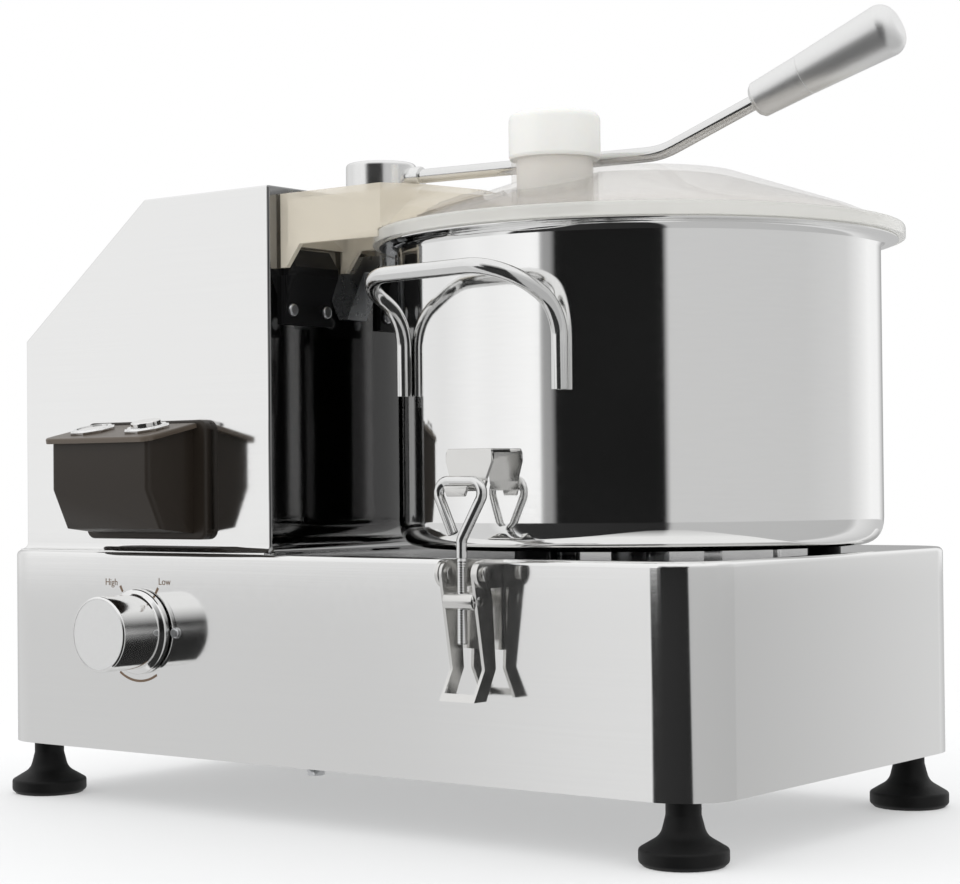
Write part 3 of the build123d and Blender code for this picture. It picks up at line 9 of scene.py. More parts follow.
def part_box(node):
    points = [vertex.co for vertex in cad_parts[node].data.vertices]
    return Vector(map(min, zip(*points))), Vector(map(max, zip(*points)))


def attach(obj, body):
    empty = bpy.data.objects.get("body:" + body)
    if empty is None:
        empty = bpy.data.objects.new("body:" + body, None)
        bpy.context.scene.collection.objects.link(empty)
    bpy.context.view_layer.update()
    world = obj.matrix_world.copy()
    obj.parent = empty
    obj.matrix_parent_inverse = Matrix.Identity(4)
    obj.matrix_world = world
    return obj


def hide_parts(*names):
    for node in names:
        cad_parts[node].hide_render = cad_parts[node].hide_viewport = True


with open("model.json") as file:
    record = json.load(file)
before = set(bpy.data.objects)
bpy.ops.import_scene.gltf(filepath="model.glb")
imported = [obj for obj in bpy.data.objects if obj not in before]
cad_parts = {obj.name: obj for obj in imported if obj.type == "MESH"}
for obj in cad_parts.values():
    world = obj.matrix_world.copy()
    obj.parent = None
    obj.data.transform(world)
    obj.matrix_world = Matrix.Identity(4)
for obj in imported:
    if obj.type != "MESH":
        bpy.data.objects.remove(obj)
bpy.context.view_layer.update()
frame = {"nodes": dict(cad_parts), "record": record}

# Working frame, in millimetres: X from the base's left end, Y from its front face, Z from the table.
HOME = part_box("base_housing")[0]


def at(x, y, z):
    """A place in the working frame, in metres in the shared frame."""
    return Vector((HOME.x + x / 1000, HOME.y + y / 1000, z / 1000))


def mm(value):
    return value / 1000


# Places and sizes that several pieces share, in millimetres.
FOOT_XS, FOOT_YS = (24, 476), (20, 255)
BOWL_X, BOWL_Y = 374.5, 137.5
BOWL_R = 132.3
BOWL_FLOOR, BOWL_TOP = 149, 314
PUSHER_X, PUSHER_Y = 370, 67
KNOB_X, KNOB_Z = 125, 101.3
KNOB_FRONT = 33.0
SCALE_X = 123               # middle of the printed speed scale
CLAMP_X, CLAMP_Y = 236.5, 83.0
ROD_R = 4.0
ROD_HEIGHT = 357.0          # of the clamp lever's rod where it leaves its hub
ROD_TURN = radians(5.9)     # of the rod towards the back
ROD_RISE = radians(22.0)    # of the rod past its bend
ROD_BEND = 179.0            # from the hub's axis to the bend
GRIP_START = 59.0           # from the bend, along the rod
GRIP_LENGTH = 84
GRIP_END_R, GRIP_EDGE_R = 13.6, 8


# ---------------------------------------------------------------- node groups and materials
def new_group(name, inputs, outputs):
    group = bpy.data.node_groups.new(name, "ShaderNodeTree")
    for label, kind, default in inputs:
        socket = group.interface.new_socket(name=label, in_out="INPUT", socket_type=kind)
        if default is not None:
            socket.default_value = default
    for label, kind in outputs:
        group.interface.new_socket(name=label, in_out="OUTPUT", socket_type=kind)
    return group, group.nodes.new("NodeGroupInput"), group.nodes.new("NodeGroupOutput")


def put(tree, kind, values=None, **settings):
    """A new node with its settings, and numbers or links for its inputs."""
    node = tree.nodes.new(kind)
    for key, value in settings.items():
        setattr(node, key, value)
    for key, value in (values or {}).items():
        if isinstance(value, bpy.types.NodeSocket):
            tree.links.new(value, node.inputs[key])
        else:
            node.inputs[key].default_value = value
    return node


def grain_group():
    """Brushing or casting grain: noise stretched along each axis by its own amount."""
    group, given, result = new_group(
        "surface_grain",
        [("Vector", "NodeSocketVector", None), ("Stretch", "NodeSocketVector", (1, 1, 1)),
         ("Contrast", "NodeSocketFloat", 0.5)],
        [("Grain", "NodeSocketFloat")])
    placed = put(group, "ShaderNodeVectorMath", {0: given.outputs["Vector"], 1: given.outputs["Stretch"]},
                 operation="MULTIPLY")
    noise = put(group, "ShaderNodeTexNoise", {"Vector": placed.outputs[0], "Scale": 1.0, "Detail": 4.0,
                                              "Roughness": 0.6})
    centred = put(group, "ShaderNodeMath", {0: noise.outputs["Fac"], 1: 0.5}, operation="SUBTRACT")
    scaled = put(group, "ShaderNodeMath", {0: centred.outputs[0], 1: given.outputs["Contrast"]},
                 operation="MULTIPLY")
    raised = put(group, "ShaderNodeMath", {0: scaled.outputs[0], 1: 0.5}, operation="ADD", use_clamp=True)
    group.links.new(raised.outputs[0], result.inputs["Grain"])
    return group


def smudge_group():
    """Faint handling marks: large soft patches with finer specks in them."""
    group, given, result = new_group(
        "handling_marks",
        [("Vector", "NodeSocketVector", None), ("Size", "NodeSocketFloat", 12.0),
         ("Amount", "NodeSocketFloat", 0.5)],
        [("Marks", "NodeSocketFloat")])
    patches = put(group, "ShaderNodeTexNoise", {"Vector": given.outputs["Vector"],
                                                 "Scale": given.outputs["Size"], "Detail": 3.0})
    specks = put(group, "ShaderNodeTexNoise", {"Vector": given.outputs["Vector"], "Scale": 260.0,
                                                "Detail": 2.0})
    mixed = put(group, "ShaderNodeMath", {0: patches.outputs["Fac"], 1: specks.outputs["Fac"]},
                operation="MULTIPLY")
    spread = put(group, "ShaderNodeMapRange", {"Value": mixed.outputs[0], "From Min": 0.18, "From Max": 0.42,
                                               "To Min": 0.0, "To Max": given.outputs["Amount"]})
    group.links.new(spread.outputs[0], result.inputs["Marks"])
    return group


GRAIN = grain_group()
MARKS = smudge_group()
DARKER = 0.96               # share of a finish's colour that its darker grain keeps
FINISHES = {}


def coat(tree, shader, colour, roughness, stretch, contrast, bump, marks):
    """Grain and marks on a shader: both vary its roughness, and the grain its colour and surface too."""
    place = put(tree, "ShaderNodeTexCoord")
    grain = put(tree, "ShaderNodeGroup", {"Vector": place.outputs["Object"], "Stretch": stretch,
                                          "Contrast": contrast}, node_tree=GRAIN)
    marked = put(tree, "ShaderNodeGroup", {"Vector": place.outputs["Object"], "Size": 12.0,
                                           "Amount": marks}, node_tree=MARKS)
    darker = [DARKER * level for level in colour]
    tint = put(tree, "ShaderNodeMix", {"Factor": grain.outputs["Grain"], "A": (*colour, 1),
                                       "B": (*darker, 1)}, data_type="RGBA")
    low, high = roughness
    gloss = put(tree, "ShaderNodeMapRange", {"Value": grain.outputs["Grain"], "To Min": low, "To Max": high})
    dulled = put(tree, "ShaderNodeMath", {0: gloss.outputs[0], 1: marked.outputs["Marks"]}, operation="ADD")
    tree.links.new(tint.outputs["Result"], shader.inputs["Base Color"])
    tree.links.new(dulled.outputs[0], shader.inputs["Roughness"])
    relief = put(tree, "ShaderNodeBump", {"Height": grain.outputs["Grain"], "Strength": bump,
                                          "Distance": 0.0002})
    tree.links.new(relief.outputs["Normal"], shader.inputs["Normal"])


# How fine the grain is along X, Y and Z, in grains a metre.
LENGTHWISE = (6, 900, 900)
UPRIGHT = (900, 900, 6)
ROUND_THE_BOWL = (60, 60, 700)
ROUND_THE_KNOB = (500, 20, 500)
FINE = (900, 900, 900)
MEDIUM = (500, 500, 500)
EVEN = (300, 300, 300)
LOOSE = (200, 200, 200)
COARSE = (60, 60, 60)


def finish(name, colour, roughness, metallic=0.0, stretch=EVEN, contrast=0.8, bump=0.1, marks=0.02,
           **sockets):
    """A material with grain and marks, whose roughness varies between two values."""
    material = bpy.data.materials.new(name)
    material.use_nodes = True
    tree = material.node_tree
    shader = tree.nodes["Principled BSDF"]
    shader.inputs["Metallic"].default_value = metallic
    for key, value in sockets.items():
        shader.inputs[key.replace("_", " ")].default_value = value
    coat(tree, shader, colour, roughness, stretch, contrast, bump, marks)
    FINISHES[name] = material


finish("stainless", (0.88, 0.88, 0.875), (0.06, 0.10), 1.0, LENGTHWISE, 0.8, 0.02)
# Painted reflection: this polished side panel's colour is 0.30, far below real steel, so that it shows dark
# like the dark surroundings it reflects.
finish("stainless_mirror", (0.30, 0.30, 0.30), (0.03, 0.06), 1.0, UPRIGHT, 0.8, 0.02)
finish("bowl_steel", (0.92, 0.92, 0.915), (0.04, 0.08), 1.0, ROUND_THE_BOWL, 0.8, 0.02)
finish("galvanised_steel", (0.62, 0.63, 0.63), (0.35, 0.55), 1.0, COARSE, 1.2, 0.1)
finish("zinc_steel", (0.62, 0.63, 0.64), (0.22, 0.38), 1.0, LOOSE, 0.8, 0.1)
finish("bearing_steel", (0.55, 0.56, 0.57), (0.15, 0.25), 1.0, FINE, 0.8, 0.05)
finish("blade_steel", (0.75, 0.76, 0.77), (0.10, 0.20), 1.0, (400, 30, 400), 0.9, 0.08)
finish("latch_steel", (0.74, 0.735, 0.72), (0.14, 0.26), 1.0, (160, 160, 160), 0.9, 0.08)
finish("rod_steel", (0.80, 0.80, 0.795), (0.10, 0.18), 1.0, EVEN, 0.8, 0.04)
finish("hub_steel", (0.84, 0.84, 0.835), (0.14, 0.24), 1.0, FINE, 0.9, 0.06)
finish("steel_grey", (0.38, 0.39, 0.40), (0.20, 0.35), 1.0, LOOSE, 0.9, 0.1)
finish("cast_aluminium", (0.62, 0.63, 0.64), (0.40, 0.60), 1.0, MEDIUM, 1.0, 0.4)
finish("grip_aluminium", (0.84, 0.84, 0.835), (0.32, 0.42), 0.96, FINE, 0.9, 0.06)
finish("chrome", (0.88, 0.88, 0.88), (0.03, 0.08), 1.0, LOOSE, 0.8, 0.02)
finish("knob_chrome", (0.88, 0.88, 0.875), (0.05, 0.11), 1.0, ROUND_THE_KNOB, 0.8, 0.02)
finish("knob_satin", (0.84, 0.84, 0.835), (0.30, 0.42), 0.86, ROUND_THE_KNOB, 0.8, 0.02)
finish("button_chrome", (0.88, 0.87, 0.86), (0.05, 0.12), 1.0, LOOSE, 0.8, 0.02)
finish("black_rubber", (0.006, 0.006, 0.006), (0.42, 0.58), 0.0, MEDIUM, 0.9, 0.3,
       Specular_IOR_Level=0.22)
finish("seal_rubber", (0.012, 0.011, 0.010), (0.40, 0.55))
finish("belt_rubber", (0.012, 0.012, 0.012), (0.55, 0.75), 0.0, (400, 400, 1500), 1.0, 0.6)
finish("gasket_rubber", (0.86, 0.85, 0.81), (0.40, 0.50))
finish("black_plastic", (0.004, 0.004, 0.0045), (0.34, 0.48), 0.0, FINE, 0.9, 0.2,
       Specular_IOR_Level=0.25)
finish("switch_plastic", (0.024, 0.018, 0.013), (0.36, 0.48), 0.0, FINE, 0.9, 0.15,
       Specular_IOR_Level=0.35)
finish("switch_lid_plastic", (0.105, 0.082, 0.062), (0.32, 0.44), 0.0, FINE, 0.9, 0.2)
finish("ivory_plastic", (0.95, 0.94, 0.90), (0.26, 0.36), 0.0, EVEN, 0.8, 0.05,
       Subsurface_Weight=0.15, Subsurface_Radius=(0.004, 0.003, 0.002))
finish("motor_paint", (0.10, 0.13, 0.16), (0.30, 0.45), 0.0, MEDIUM, 0.9, 0.3)
finish("circuit_board", (0.02, 0.09, 0.04), (0.35, 0.5), 0.0, (800, 800, 800), 1.0, 0.3)
finish("clear_polycarbonate", (0.84, 0.79, 0.73), (0.02, 0.05), 0.0, COARSE, 0.6, 0.01, 0.01, Alpha=0.24)
finish("milky_polycarbonate", (0.88, 0.81, 0.68), (0.03, 0.08), 0.0, COARSE, 0.6, 0.01, 0.01, Alpha=0.55)
finish("rim_polycarbonate", (0.84, 0.83, 0.79), (0.02, 0.05), 0.0, COARSE, 0.6, 0.01, 0.01, Alpha=0.60)
finish("lettering", (0.20, 0.13, 0.08), (0.45, 0.6), 0.0, FINE, 0.8, 0.1)


# ---------------------------------------------------------------- mesh helpers
replaced = set()


def keep(name, shape, material, body, nodes=(), angle=32):
    """Turns a bmesh into a finished piece that rides on a body, in place of the nodes it replaces."""
    mesh = bpy.data.meshes.new(name)
    shape.to_mesh(mesh)
    shape.free()
    for face in mesh.polygons:
        face.use_smooth = True
    mesh.set_sharp_from_angle(angle=radians(angle))
    piece = bpy.data.objects.new(name, mesh)
    bpy.context.scene.collection.objects.link(piece)
    flat_first(piece)
    piece.data.materials.append(FINISHES[material])
    if nodes:
        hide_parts(*nodes)
        replaced.update(nodes)
    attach(piece, body)


def flat_first(piece):
    """Weights the shading by area, so that a large flat face stays flat up to its rounded edges."""
    weighting = piece.modifiers.new("flat_first", "WEIGHTED_NORMAL")
    weighting.weight = 100
    weighting.keep_sharp = True
    view = bpy.context.evaluated_depsgraph_get()
    finished = bpy.data.meshes.new_from_object(piece.evaluated_get(view))
    piece.modifiers.clear()
    piece.data = finished


def turned(profile, centre, direction=(0, 0, 1), steps=128):
    """Spins a profile of (radius, height) pairs about an axis through a place."""
    shape = bmesh.new()
    points = [shape.verts.new((r, 0, h)) for r, h in profile]
    closed = points[0].co.x > 1e-6 or points[-1].co.x > 1e-6
    edges = [shape.edges.new(pair) for pair in zip(points, points[1:])]
    if closed:
        edges.append(shape.edges.new((points[-1], points[0])))
    bmesh.ops.spin(shape, geom=points + edges, cent=(0, 0, 0), axis=(0, 0, 1), angle=2 * pi, steps=steps,
                   use_merge=True, use_duplicate=False)
    bmesh.ops.remove_doubles(shape, verts=shape.verts, dist=1e-7)
    bmesh.ops.recalc_face_normals(shape, faces=shape.faces)
    turn = Vector((0, 0, 1)).rotation_difference(Vector(direction)).to_matrix().to_4x4()
    shape.transform(Matrix.Translation(centre) @ turn)
    return shape


def rounded(points, steps=6):
    """A profile in millimetres with its corners rounded: each point is (radius, height, corner radius)."""
    line = []
    for index, (r, h, size) in enumerate(points):
        corner = Vector((r, h))
        if size == 0 or index in (0, len(points) - 1):
            line.append(corner)
            continue
        before = Vector(points[index - 1][:2]) - corner
        after = Vector(points[index + 1][:2]) - corner
        half = before.angle(after) / 2
        reach = min(size / max(1e-6, sin(half) / cos(half)), before.length * 0.49, after.length * 0.49)
        start = corner + before.normalized() * reach
        end = corner + after.normalized() * reach
        for step in range(steps + 1):
            t = step / steps
            line.append(start * (1 - t) ** 2 + corner * 2 * t * (1 - t) + end * t * t)
    return [(mm(p.x), mm(p.y)) for p in line]


def from_cad(node):
    """A CAD node's own shape with shared corners, so that its curves shade smoothly."""
    shape = bmesh.new()
    shape.from_mesh(frame["nodes"][node].data)
    bmesh.ops.remove_doubles(shape, verts=shape.verts, dist=2e-6)
    bmesh.ops.dissolve_degenerate(shape, dist=1e-6, edges=shape.edges)
    return shape


def join(shapes):
    """One bmesh out of several."""
    whole = bmesh.new()
    for shape in shapes:
        part = bpy.data.meshes.new("part")
        shape.to_mesh(part)
        shape.free()
        whole.from_mesh(part)
        bpy.data.meshes.remove(part)
    return whole


SLOT_OF = {row["node"]: row["material_slot"] for row in frame["record"]["subparts"]}
BODY_OF = {node: body for body, nodes in frame["record"]["behaviour"]["bodies"].items() for node in nodes}


# ---------------------------------------------------------------- detailed pieces
def make_bowl():
    """Spun bowl: rounded floor, flared rim, and the tube that the spindle comes up through."""
    sheet = 1.2
    under, inner = BOWL_TOP - sheet, BOWL_R - sheet
    tube_outer, tube_inner, tube_top = 19, 16.4, 232
    rim_r = 142.0
    outline = [(tube_outer, BOWL_FLOOR, 0), (BOWL_R, BOWL_FLOOR, 15), (BOWL_R, under, 9.0),
               (rim_r, under, 0.5), (rim_r, BOWL_TOP, 0.5), (inner, BOWL_TOP, 8.2),
               (inner, BOWL_FLOOR + sheet, 14), (tube_outer, BOWL_FLOOR + sheet, 1.5),
               (tube_outer, tube_top, 1.0), (tube_inner, tube_top, 0), (tube_inner, BOWL_FLOOR, 0)]
    shape = turned(rounded(outline, 8), at(BOWL_X, BOWL_Y, 0), steps=192)
    keep("bowl_spun_shell", shape, "bowl_steel", "machine", ("bowl_shell",), angle=50)


def make_feet():
    """Rubber feet: a neck that flares into a foot with rounded edges."""
    outline = [(0, 16, 0), (3, 16, 0), (3, 32, 0), (8.7, 32, 0.8), (8.7, 24.4, 2), (11.2, 14.6, 9),
               (22, 8.2, 2.0), (22, 2.2, 2.2), (19.6, 0, 1.2), (0, 0, 0)]
    feet = [turned(rounded(outline, 6), at(x, y, 0), steps=72) for x in FOOT_XS for y in FOOT_YS]
    keep("foot_mouldings", join(feet), "black_rubber", "machine", ("rubber_feet",), angle=50)


def make_knob():
    """Polished knob with a skirt, and the satin disc that is let into its end."""
    place, outward = at(KNOB_X, 0, KNOB_Z), (0, -1, 0)
    recess_r, recess_back = 19.7, KNOB_FRONT - 0.4
    outline = [(3.0, 1.0, 0), (24.2, 1.0, 0.6), (24.2, 4.6, 1.6), (21.6, 6.0, 0.6), (21.2, 6.4, 0.3),
               (21.2, 32.2, 0.9), (20.3, KNOB_FRONT, 0.5), (recess_r, KNOB_FRONT, 0),
               (recess_r, recess_back, 0), (0, recess_back, 0), (0, 27, 0), (3.0, 27, 0)]
    knob = turned(rounded(outline, 5), place, outward, 96)
    keep("speed_knob_turned", knob, "knob_chrome", "knob", ("speed_knob",), angle=28)
    disc_r, disc_back, disc_front = mm(recess_r - 0.1), mm(recess_back - 0.2), mm(KNOB_FRONT - 0.1)
    disc = turned([(0, disc_back), (disc_r, disc_back), (disc_r, disc_front), (0, disc_front)],
                  place, outward, 96)
    keep("speed_knob_face", disc, "knob_satin", "knob", ("speed_knob",), angle=28)


def make_pusher():
    """White pusher: a hollow plug that fits the feed tube, and a wider cap over the tube's edge."""
    plug, cap, wall = 20.1, 24.2, 3
    foot, ceiling, top = 327, 373.5, 378.5
    outline = [(0, ceiling, 0), (plug - wall, ceiling, 2), (plug - wall, foot, 0.5), (plug, foot, 1.8),
               (plug, 353.6, 0.4), (23.5, 354.0, 0.3), (23.9, 354.8, 0.3), (cap, 355.6, 0.4), (cap, top, 4.6),
               (0, top, 0)]
    shape = turned(rounded(outline, 8), at(PUSHER_X, PUSHER_Y, 0), steps=96)
    keep("pusher_moulding", shape, "ivory_plastic", "pusher", ("feed_pusher",), angle=40)


def rod_place(reach, height):
    """A place over the clamp lever's line: so far from the hub's axis, and so high."""
    return at(CLAMP_X + reach * cos(ROD_TURN), CLAMP_Y + reach * sin(ROD_TURN), height)


def make_grip():
    """Turned grip: short nose, seam groove, slow taper and an edge rounded over the flat end."""
    start = rod_place(ROD_BEND + GRIP_START * cos(ROD_RISE), ROD_HEIGHT + GRIP_START * sin(ROD_RISE))
    direction = (cos(ROD_TURN) * cos(ROD_RISE), sin(ROD_TURN) * cos(ROD_RISE), sin(ROD_RISE))
    bore_end, edge_start = 30, GRIP_LENGTH - GRIP_EDGE_R
    side = rounded([(ROD_R, 0, 0), (7.6, 0, 0.6), (9.6, 2.2, 1.4), (10.8, 29.7, 0.2), (10.55, 30.0, 0.1),
                    (10.9, 30.4, 0.2), (GRIP_END_R, edge_start, 0)], 7)
    end = [(mm(GRIP_END_R - GRIP_EDGE_R + GRIP_EDGE_R * cos(radians(angle))),
            mm(edge_start + GRIP_EDGE_R * sin(radians(angle)))) for angle in range(6, 91, 6)]
    core = [(0, mm(GRIP_LENGTH)), (0, mm(bore_end)), (mm(ROD_R), mm(bore_end))]
    shape = turned(side + end + core, start, direction, 96)
    keep("grip_turned", shape, "grip_aluminium", "clamp_lever", ("lever_grip",), angle=28)


def make_hub():
    """Drum of the clamp lever, and the collar that the rod leaves it through."""
    foot, top, bore_top = 345.3, 366.0, 359.3
    outline = [(ROD_R, foot, 0), (19.2, foot, 0.6), (20.0, foot + 0.9, 0.6), (20.0, top, 2.6), (0, top, 0),
               (0, bore_top, 0), (ROD_R, bore_top, 0)]
    drum = turned(rounded(outline, 6), at(CLAMP_X, CLAMP_Y, 0), steps=96)
    collar = turned(rounded([(ROD_R, 0, 0), (5.6, 0, 0), (5.6, 12, 0.6), (ROD_R, 12, 0)], 4),
                    rod_place(16, ROD_HEIGHT), (cos(ROD_TURN), sin(ROD_TURN), 0), 48)
    keep("clamp_hub_turned", join([drum, collar]), "hub_steel", "clamp_lever", ("clamp_hub",), angle=30)


def make_claws():
    """The CAD claw above the lever, and a screw thread on its rod below."""
    claw_x, cut = 371, 147
    pitch, crest, root = 1.25, 2.68, 2.25
    rod_end, thread_low, thread_top = 104.2, 104.6, 146.4
    for y, node in ((-16.6, "front_latch_claw"), (291.6, "rear_latch_claw")):
        loop = from_cad(node)
        bmesh.ops.bisect_plane(loop, geom=loop.verts[:] + loop.edges[:] + loop.faces[:], dist=1e-6,
                               plane_co=(0, 0, mm(cut)), plane_no=(0, 0, 1), clear_inner=True)
        line = [(0, rod_end), (root, rod_end)]
        for step in range(int((thread_top - thread_low) / pitch)):
            low = thread_low + step * pitch
            line += [(root, low), (crest, low + pitch * 0.4), (crest, low + pitch * 0.6)]
        line += [(root, cut), (0, cut)]
        thread = turned([(mm(r), mm(z)) for r, z in line], at(claw_x, y, 0), steps=32)
        keep(node + "_threaded", join([loop, thread]), "rod_steel", BODY_OF[node], (node,), angle=30)


def make_lid():
    """The clear lid in three pieces: the dome with its tube, the thick rim, and the milkier arm."""
    arm_right, arm_front, arm_back = 312.0, 20.9, 145.1
    rim_low, rim_top, rim_inner, rim_outer = 314.05, 321.4, 133.4, 145.8

    def region(face):
        spot = (face.calc_center_median() - at(0, 0, 0)) * 1000
        away = Vector((spot.x - BOWL_X, spot.y - BOWL_Y)).length
        if away > rim_outer or spot.x < arm_right and arm_front < spot.y < arm_back and spot.z > rim_top:
            return "arm"
        return "rim" if away > rim_inner and rim_low < spot.z < rim_top else "dome"

    for part, material in (("dome", "clear_polycarbonate"), ("arm", "milky_polycarbonate")):
        shape = from_cad("lid_shell")
        others = [face for face in shape.faces if region(face) != part]
        bmesh.ops.delete(shape, geom=others, context="FACES")
        keep("lid_" + part + "_skin", shape, material, "lid", ("lid_shell",), 32)
    inner, outer, low, top = 133.5, 145.6, 314.1, 321.3
    rim = turned(rounded([(inner, low, 0), (outer, low, 0.4), (outer, top, 2.5), (inner, top, 0)], 8),
                 at(BOWL_X, BOWL_Y, 0), steps=256)
    keep("lid_rim_turned", rim, "rim_polycarbonate", "lid", ("lid_shell",), 50)


def word_on_front(word, x, z):
    """A word lying on the base front, with its lower left corner at a place."""
    text = bpy.data.curves.new(word, "FONT")
    text.body = word
    text.size = mm(5.6)
    text.extrude = mm(0.03)
    lettering = bpy.data.objects.new(word, text)
    bpy.context.scene.collection.objects.link(lettering)
    bpy.context.view_layer.update()
    flat = bpy.data.meshes.new_from_object(lettering)
    bpy.data.objects.remove(lettering)
    shape = bmesh.new()
    shape.from_mesh(flat)
    shape.transform(Matrix.Translation(at(x, -0.06, z)) @ Matrix.Rotation(radians(90), 4, "X"))
    return shape


def arc_on_front(start, end, reach, deep):
    """A band round the knob on the base front, between two headings in degrees from straight up."""
    centre = Vector((SCALE_X, 0, KNOB_Z))
    heading = radians(start)
    shape = bmesh.new()
    points = []
    for radius in (reach, reach + deep):
        place = centre + Vector((radius * sin(heading), -0.05, radius * cos(heading)))
        points.append(shape.verts.new(at(*place)))
    edge = shape.edges.new(points)
    bmesh.ops.spin(shape, geom=points + [edge], cent=at(*centre), axis=(0, 1, 0),
                   angle=radians(end - start), steps=24)
    return shape


def make_marks():
    """Speed scale on the base front: two words, two ticks and an arc."""
    shapes = [word_on_front("High", 95.6, 127.0), word_on_front("Low", 139.2, 128.0),
              arc_on_front(31, 34.4, 25.6, 4.0), arc_on_front(-31.9, -28.5, 25.6, 4.0),
              arc_on_front(149, 213, 27.6, 1.4)]
    keep("speed_scale_print", join(shapes), "lettering", "machine")


make_bowl()
make_feet()
make_knob()
make_pusher()
make_grip()
make_hub()
make_claws()
make_lid()
make_marks()

# ---------------------------------------------------------------- all other pieces
# Pieces inside the closed housings keep their CAD meshes and only take their finish.
HIDDEN = {"bottom_plate", "bearing_housing", "bearing_outer_rings", "bearing_inner_rings", "shaft_seal",
          "spindle_pulley", "pulley_nut", "motor_plate", "motor_housing", "motor_cowl", "motor_shaft",
          "motor_fan", "motor_pulley", "drive_belt", "control_board", "contact_blocks", "knob_shaft",
          "speed_potentiometer", "bowl_rest_pads"}
for node in sorted(set(frame["nodes"]) - replaced):
    slot = SLOT_OF[node]
    if node in HIDDEN:
        frame["nodes"][node].data.materials.clear()
        frame["nodes"][node].data.materials.append(FINISHES[slot])
    else:
        keep(node + "_skin", from_cad(node), slot, BODY_OF[node], (node,))


# ---------------------------------------------------------------- floor, surroundings, lights and camera
def make_floor():
    """White table top that keeps a soft shadow and fades out; shiny metal doesn't reflect it."""
    bpy.ops.mesh.primitive_circle_add(vertices=96, radius=2.4, fill_type="NGON", location=(0, 0, 0))
    floor = bpy.context.object
    floor.name = "studio_floor"
    material = bpy.data.materials.new("studio_floor")
    material.use_nodes = True
    tree = material.node_tree
    shader = tree.nodes["Principled BSDF"]
    shader.inputs["Base Color"].default_value = (0.98, 0.98, 0.98, 1)
    shader.inputs["Roughness"].default_value = 0.7
    place = put(tree, "ShaderNodeTexCoord")
    reach = put(tree, "ShaderNodeVectorMath", {0: place.outputs["Object"]}, operation="LENGTH")
    fade = put(tree, "ShaderNodeMapRange", {"Value": reach.outputs["Value"], "From Min": 0.32,
                                            "From Max": 0.80, "To Min": 0.36},
               interpolation_type="SMOOTHSTEP")
    path = put(tree, "ShaderNodeLightPath")
    gone = put(tree, "ShaderNodeMath", {0: fade.outputs[0], 1: path.outputs["Is Glossy Ray"]},
               operation="MAXIMUM")
    clear = put(tree, "ShaderNodeBsdfTransparent")
    mixed = put(tree, "ShaderNodeMixShader", {0: gone.outputs[0], 1: shader.outputs[0],
                                              2: clear.outputs[0]})
    tree.links.new(mixed.outputs[0], tree.nodes["Material Output"].inputs["Surface"])
    floor.data.materials.append(material)


# What bright metal reflects, as (heading in degrees, level): screens round the machine and dark gaps between.
SCREENS = ((-180, 0.84), (-160, 0.82), (-139, 0.94), (-127, 0.92), (-107, 1.0), (-102.5, 0.98),
           (-101, 0.34), (-96, 0.30), (-95, 0.008), (-44.3, 0.008), (-43, 0.62), (26, 0.61), (56, 0.68),
           (80, 0.98), (94, 0.95), (108, 0.40), (130, 0.45), (179, 0.84))
LOW_SCREENS = ((-180, 0.70), (-140, 0.67), (-130, 0.66), (-125, 0.80), (-119, 0.86), (-116.5, 0.03),
               (-44, 0.02), (-42, 0.52), (57, 0.50), (60, 0.56), (65, 0.78), (90, 0.60), (130, 0.50),
               (179, 0.70))


def screen_ramp(tree, turn, stops):
    """A colour ramp round the horizon, with turn running from 0 to 1."""
    ramp = put(tree, "ShaderNodeValToRGB", {"Fac": turn})
    places = ramp.color_ramp.elements
    while len(places) < len(stops):
        places.new(0.5)
    for element, (heading, level) in zip(places, stops):
        element.position = (heading + 180) / 360
        element.color = (level, level, level, 1)
    return ramp.outputs["Color"]


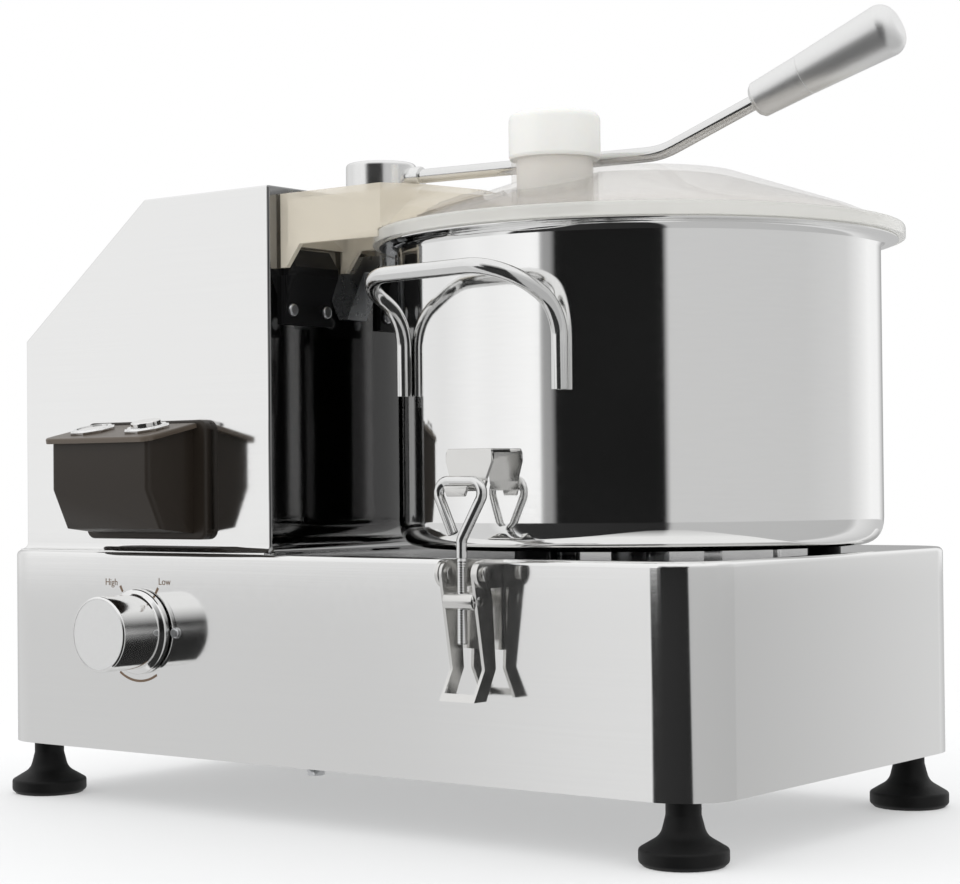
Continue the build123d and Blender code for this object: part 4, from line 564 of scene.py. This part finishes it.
def make_surroundings():
    """White room whose screens and gaps show in bright metal; its floor side is darker."""
    world = bpy.data.worlds.new("studio")
    bpy.context.scene.world = world
    world.use_nodes = True
    tree = world.node_tree
    tree.nodes.clear()
    place = put(tree, "ShaderNodeTexCoord")
    split = put(tree, "ShaderNodeSeparateXYZ", {0: place.outputs["Generated"]})
    height = split.outputs["Z"]
    heading = put(tree, "ShaderNodeMath", {0: split.outputs["Y"], 1: split.outputs["X"]}, operation="ARCTAN2")
    turn = put(tree, "ShaderNodeMapRange", {"Value": heading.outputs[0], "From Min": -pi, "From Max": pi})
    below = put(tree, "ShaderNodeMapRange", {"Value": height, "From Min": -0.034, "From Max": -0.042})
    above = put(tree, "ShaderNodeMapRange", {"Value": height, "From Min": 0.25, "From Max": 0.7})
    around = put(tree, "ShaderNodeMix", {"Factor": below.outputs[0],
                                         "A": screen_ramp(tree, turn.outputs[0], SCREENS),
                                         "B": screen_ramp(tree, turn.outputs[0], LOW_SCREENS)},
                 data_type="RGBA")
    overhead = put(tree, "ShaderNodeMix", {"Factor": above.outputs[0], "A": around.outputs["Result"],
                                           "B": (1.0, 1.0, 1.0, 1)}, data_type="RGBA")
    reflected = put(tree, "ShaderNodeBackground", {"Color": overhead.outputs["Result"], "Strength": 1.0})
    lit = put(tree, "ShaderNodeBackground", {"Color": (0.98, 0.99, 1.0, 1), "Strength": 1.0})
    seen = put(tree, "ShaderNodeBackground", {"Color": (1, 1, 1, 1), "Strength": 1.0})
    path = put(tree, "ShaderNodeLightPath")
    behind = put(tree, "ShaderNodeMath", {0: path.outputs["Is Camera Ray"],
                                          1: path.outputs["Is Transmission Ray"]}, operation="MAXIMUM")
    lower = put(tree, "ShaderNodeMixShader", {0: path.outputs["Is Glossy Ray"], 1: lit.outputs[0],
                                              2: reflected.outputs[0]})
    whole = put(tree, "ShaderNodeMixShader", {0: behind.outputs[0], 1: lower.outputs[0], 2: seen.outputs[0]})
    out = put(tree, "ShaderNodeOutputWorld")
    tree.links.new(whole.outputs[0], out.inputs["Surface"])


def soft_light(name, place, size):
    """A weak lamp aimed at the machine, which shiny pieces don't show."""
    data = bpy.data.lights.new(name, "AREA")
    data.shape = "RECTANGLE"
    data.size, data.size_y = size
    data.energy = 4
    lamp = bpy.data.objects.new(name, data)
    bpy.context.scene.collection.objects.link(lamp)
    lamp.location = place
    lamp.visible_glossy = False
    lamp.rotation_mode = "QUATERNION"
    lamp.rotation_quaternion = (Vector((0, 0, 0.2)) - Vector(place)).to_track_quat("-Z", "Y")


def make_camera():
    """Camera low at the right front, aimed by its heading, tilt and roll in radians."""
    yaw, pitch, roll = 0.65853, 0.01735, -0.0093
    forward = Vector((-sin(yaw) * cos(pitch), cos(yaw) * cos(pitch), sin(pitch)))
    level = Vector((cos(yaw), sin(yaw), 0))
    up = level.cross(forward)
    right = level * cos(roll) + up * sin(roll)
    raised = up * cos(roll) - level * sin(roll)
    data = bpy.data.cameras.new("studio_camera")
    data.sensor_width = 36
    data.lens = 83.385
    data.clip_start, data.clip_end = 0.05, 60
    camera = bpy.data.objects.new("studio_camera", data)
    bpy.context.scene.collection.objects.link(camera)
    turn = Matrix((right, raised, -forward)).transposed()
    camera.matrix_world = Matrix.Translation(at(1054.13, -883.87, 185.27)) @ turn.to_4x4()
    bpy.context.scene.camera = camera


make_floor()
make_surroundings()
soft_light("key_light", (-1.1, -1.3, 1.6), (1.4, 1.2))
soft_light("top_light", (0, 0.2, 1.9), (1.8, 1.4))
make_camera()
bpy.context.scene.view_settings.view_transform = "Standard"
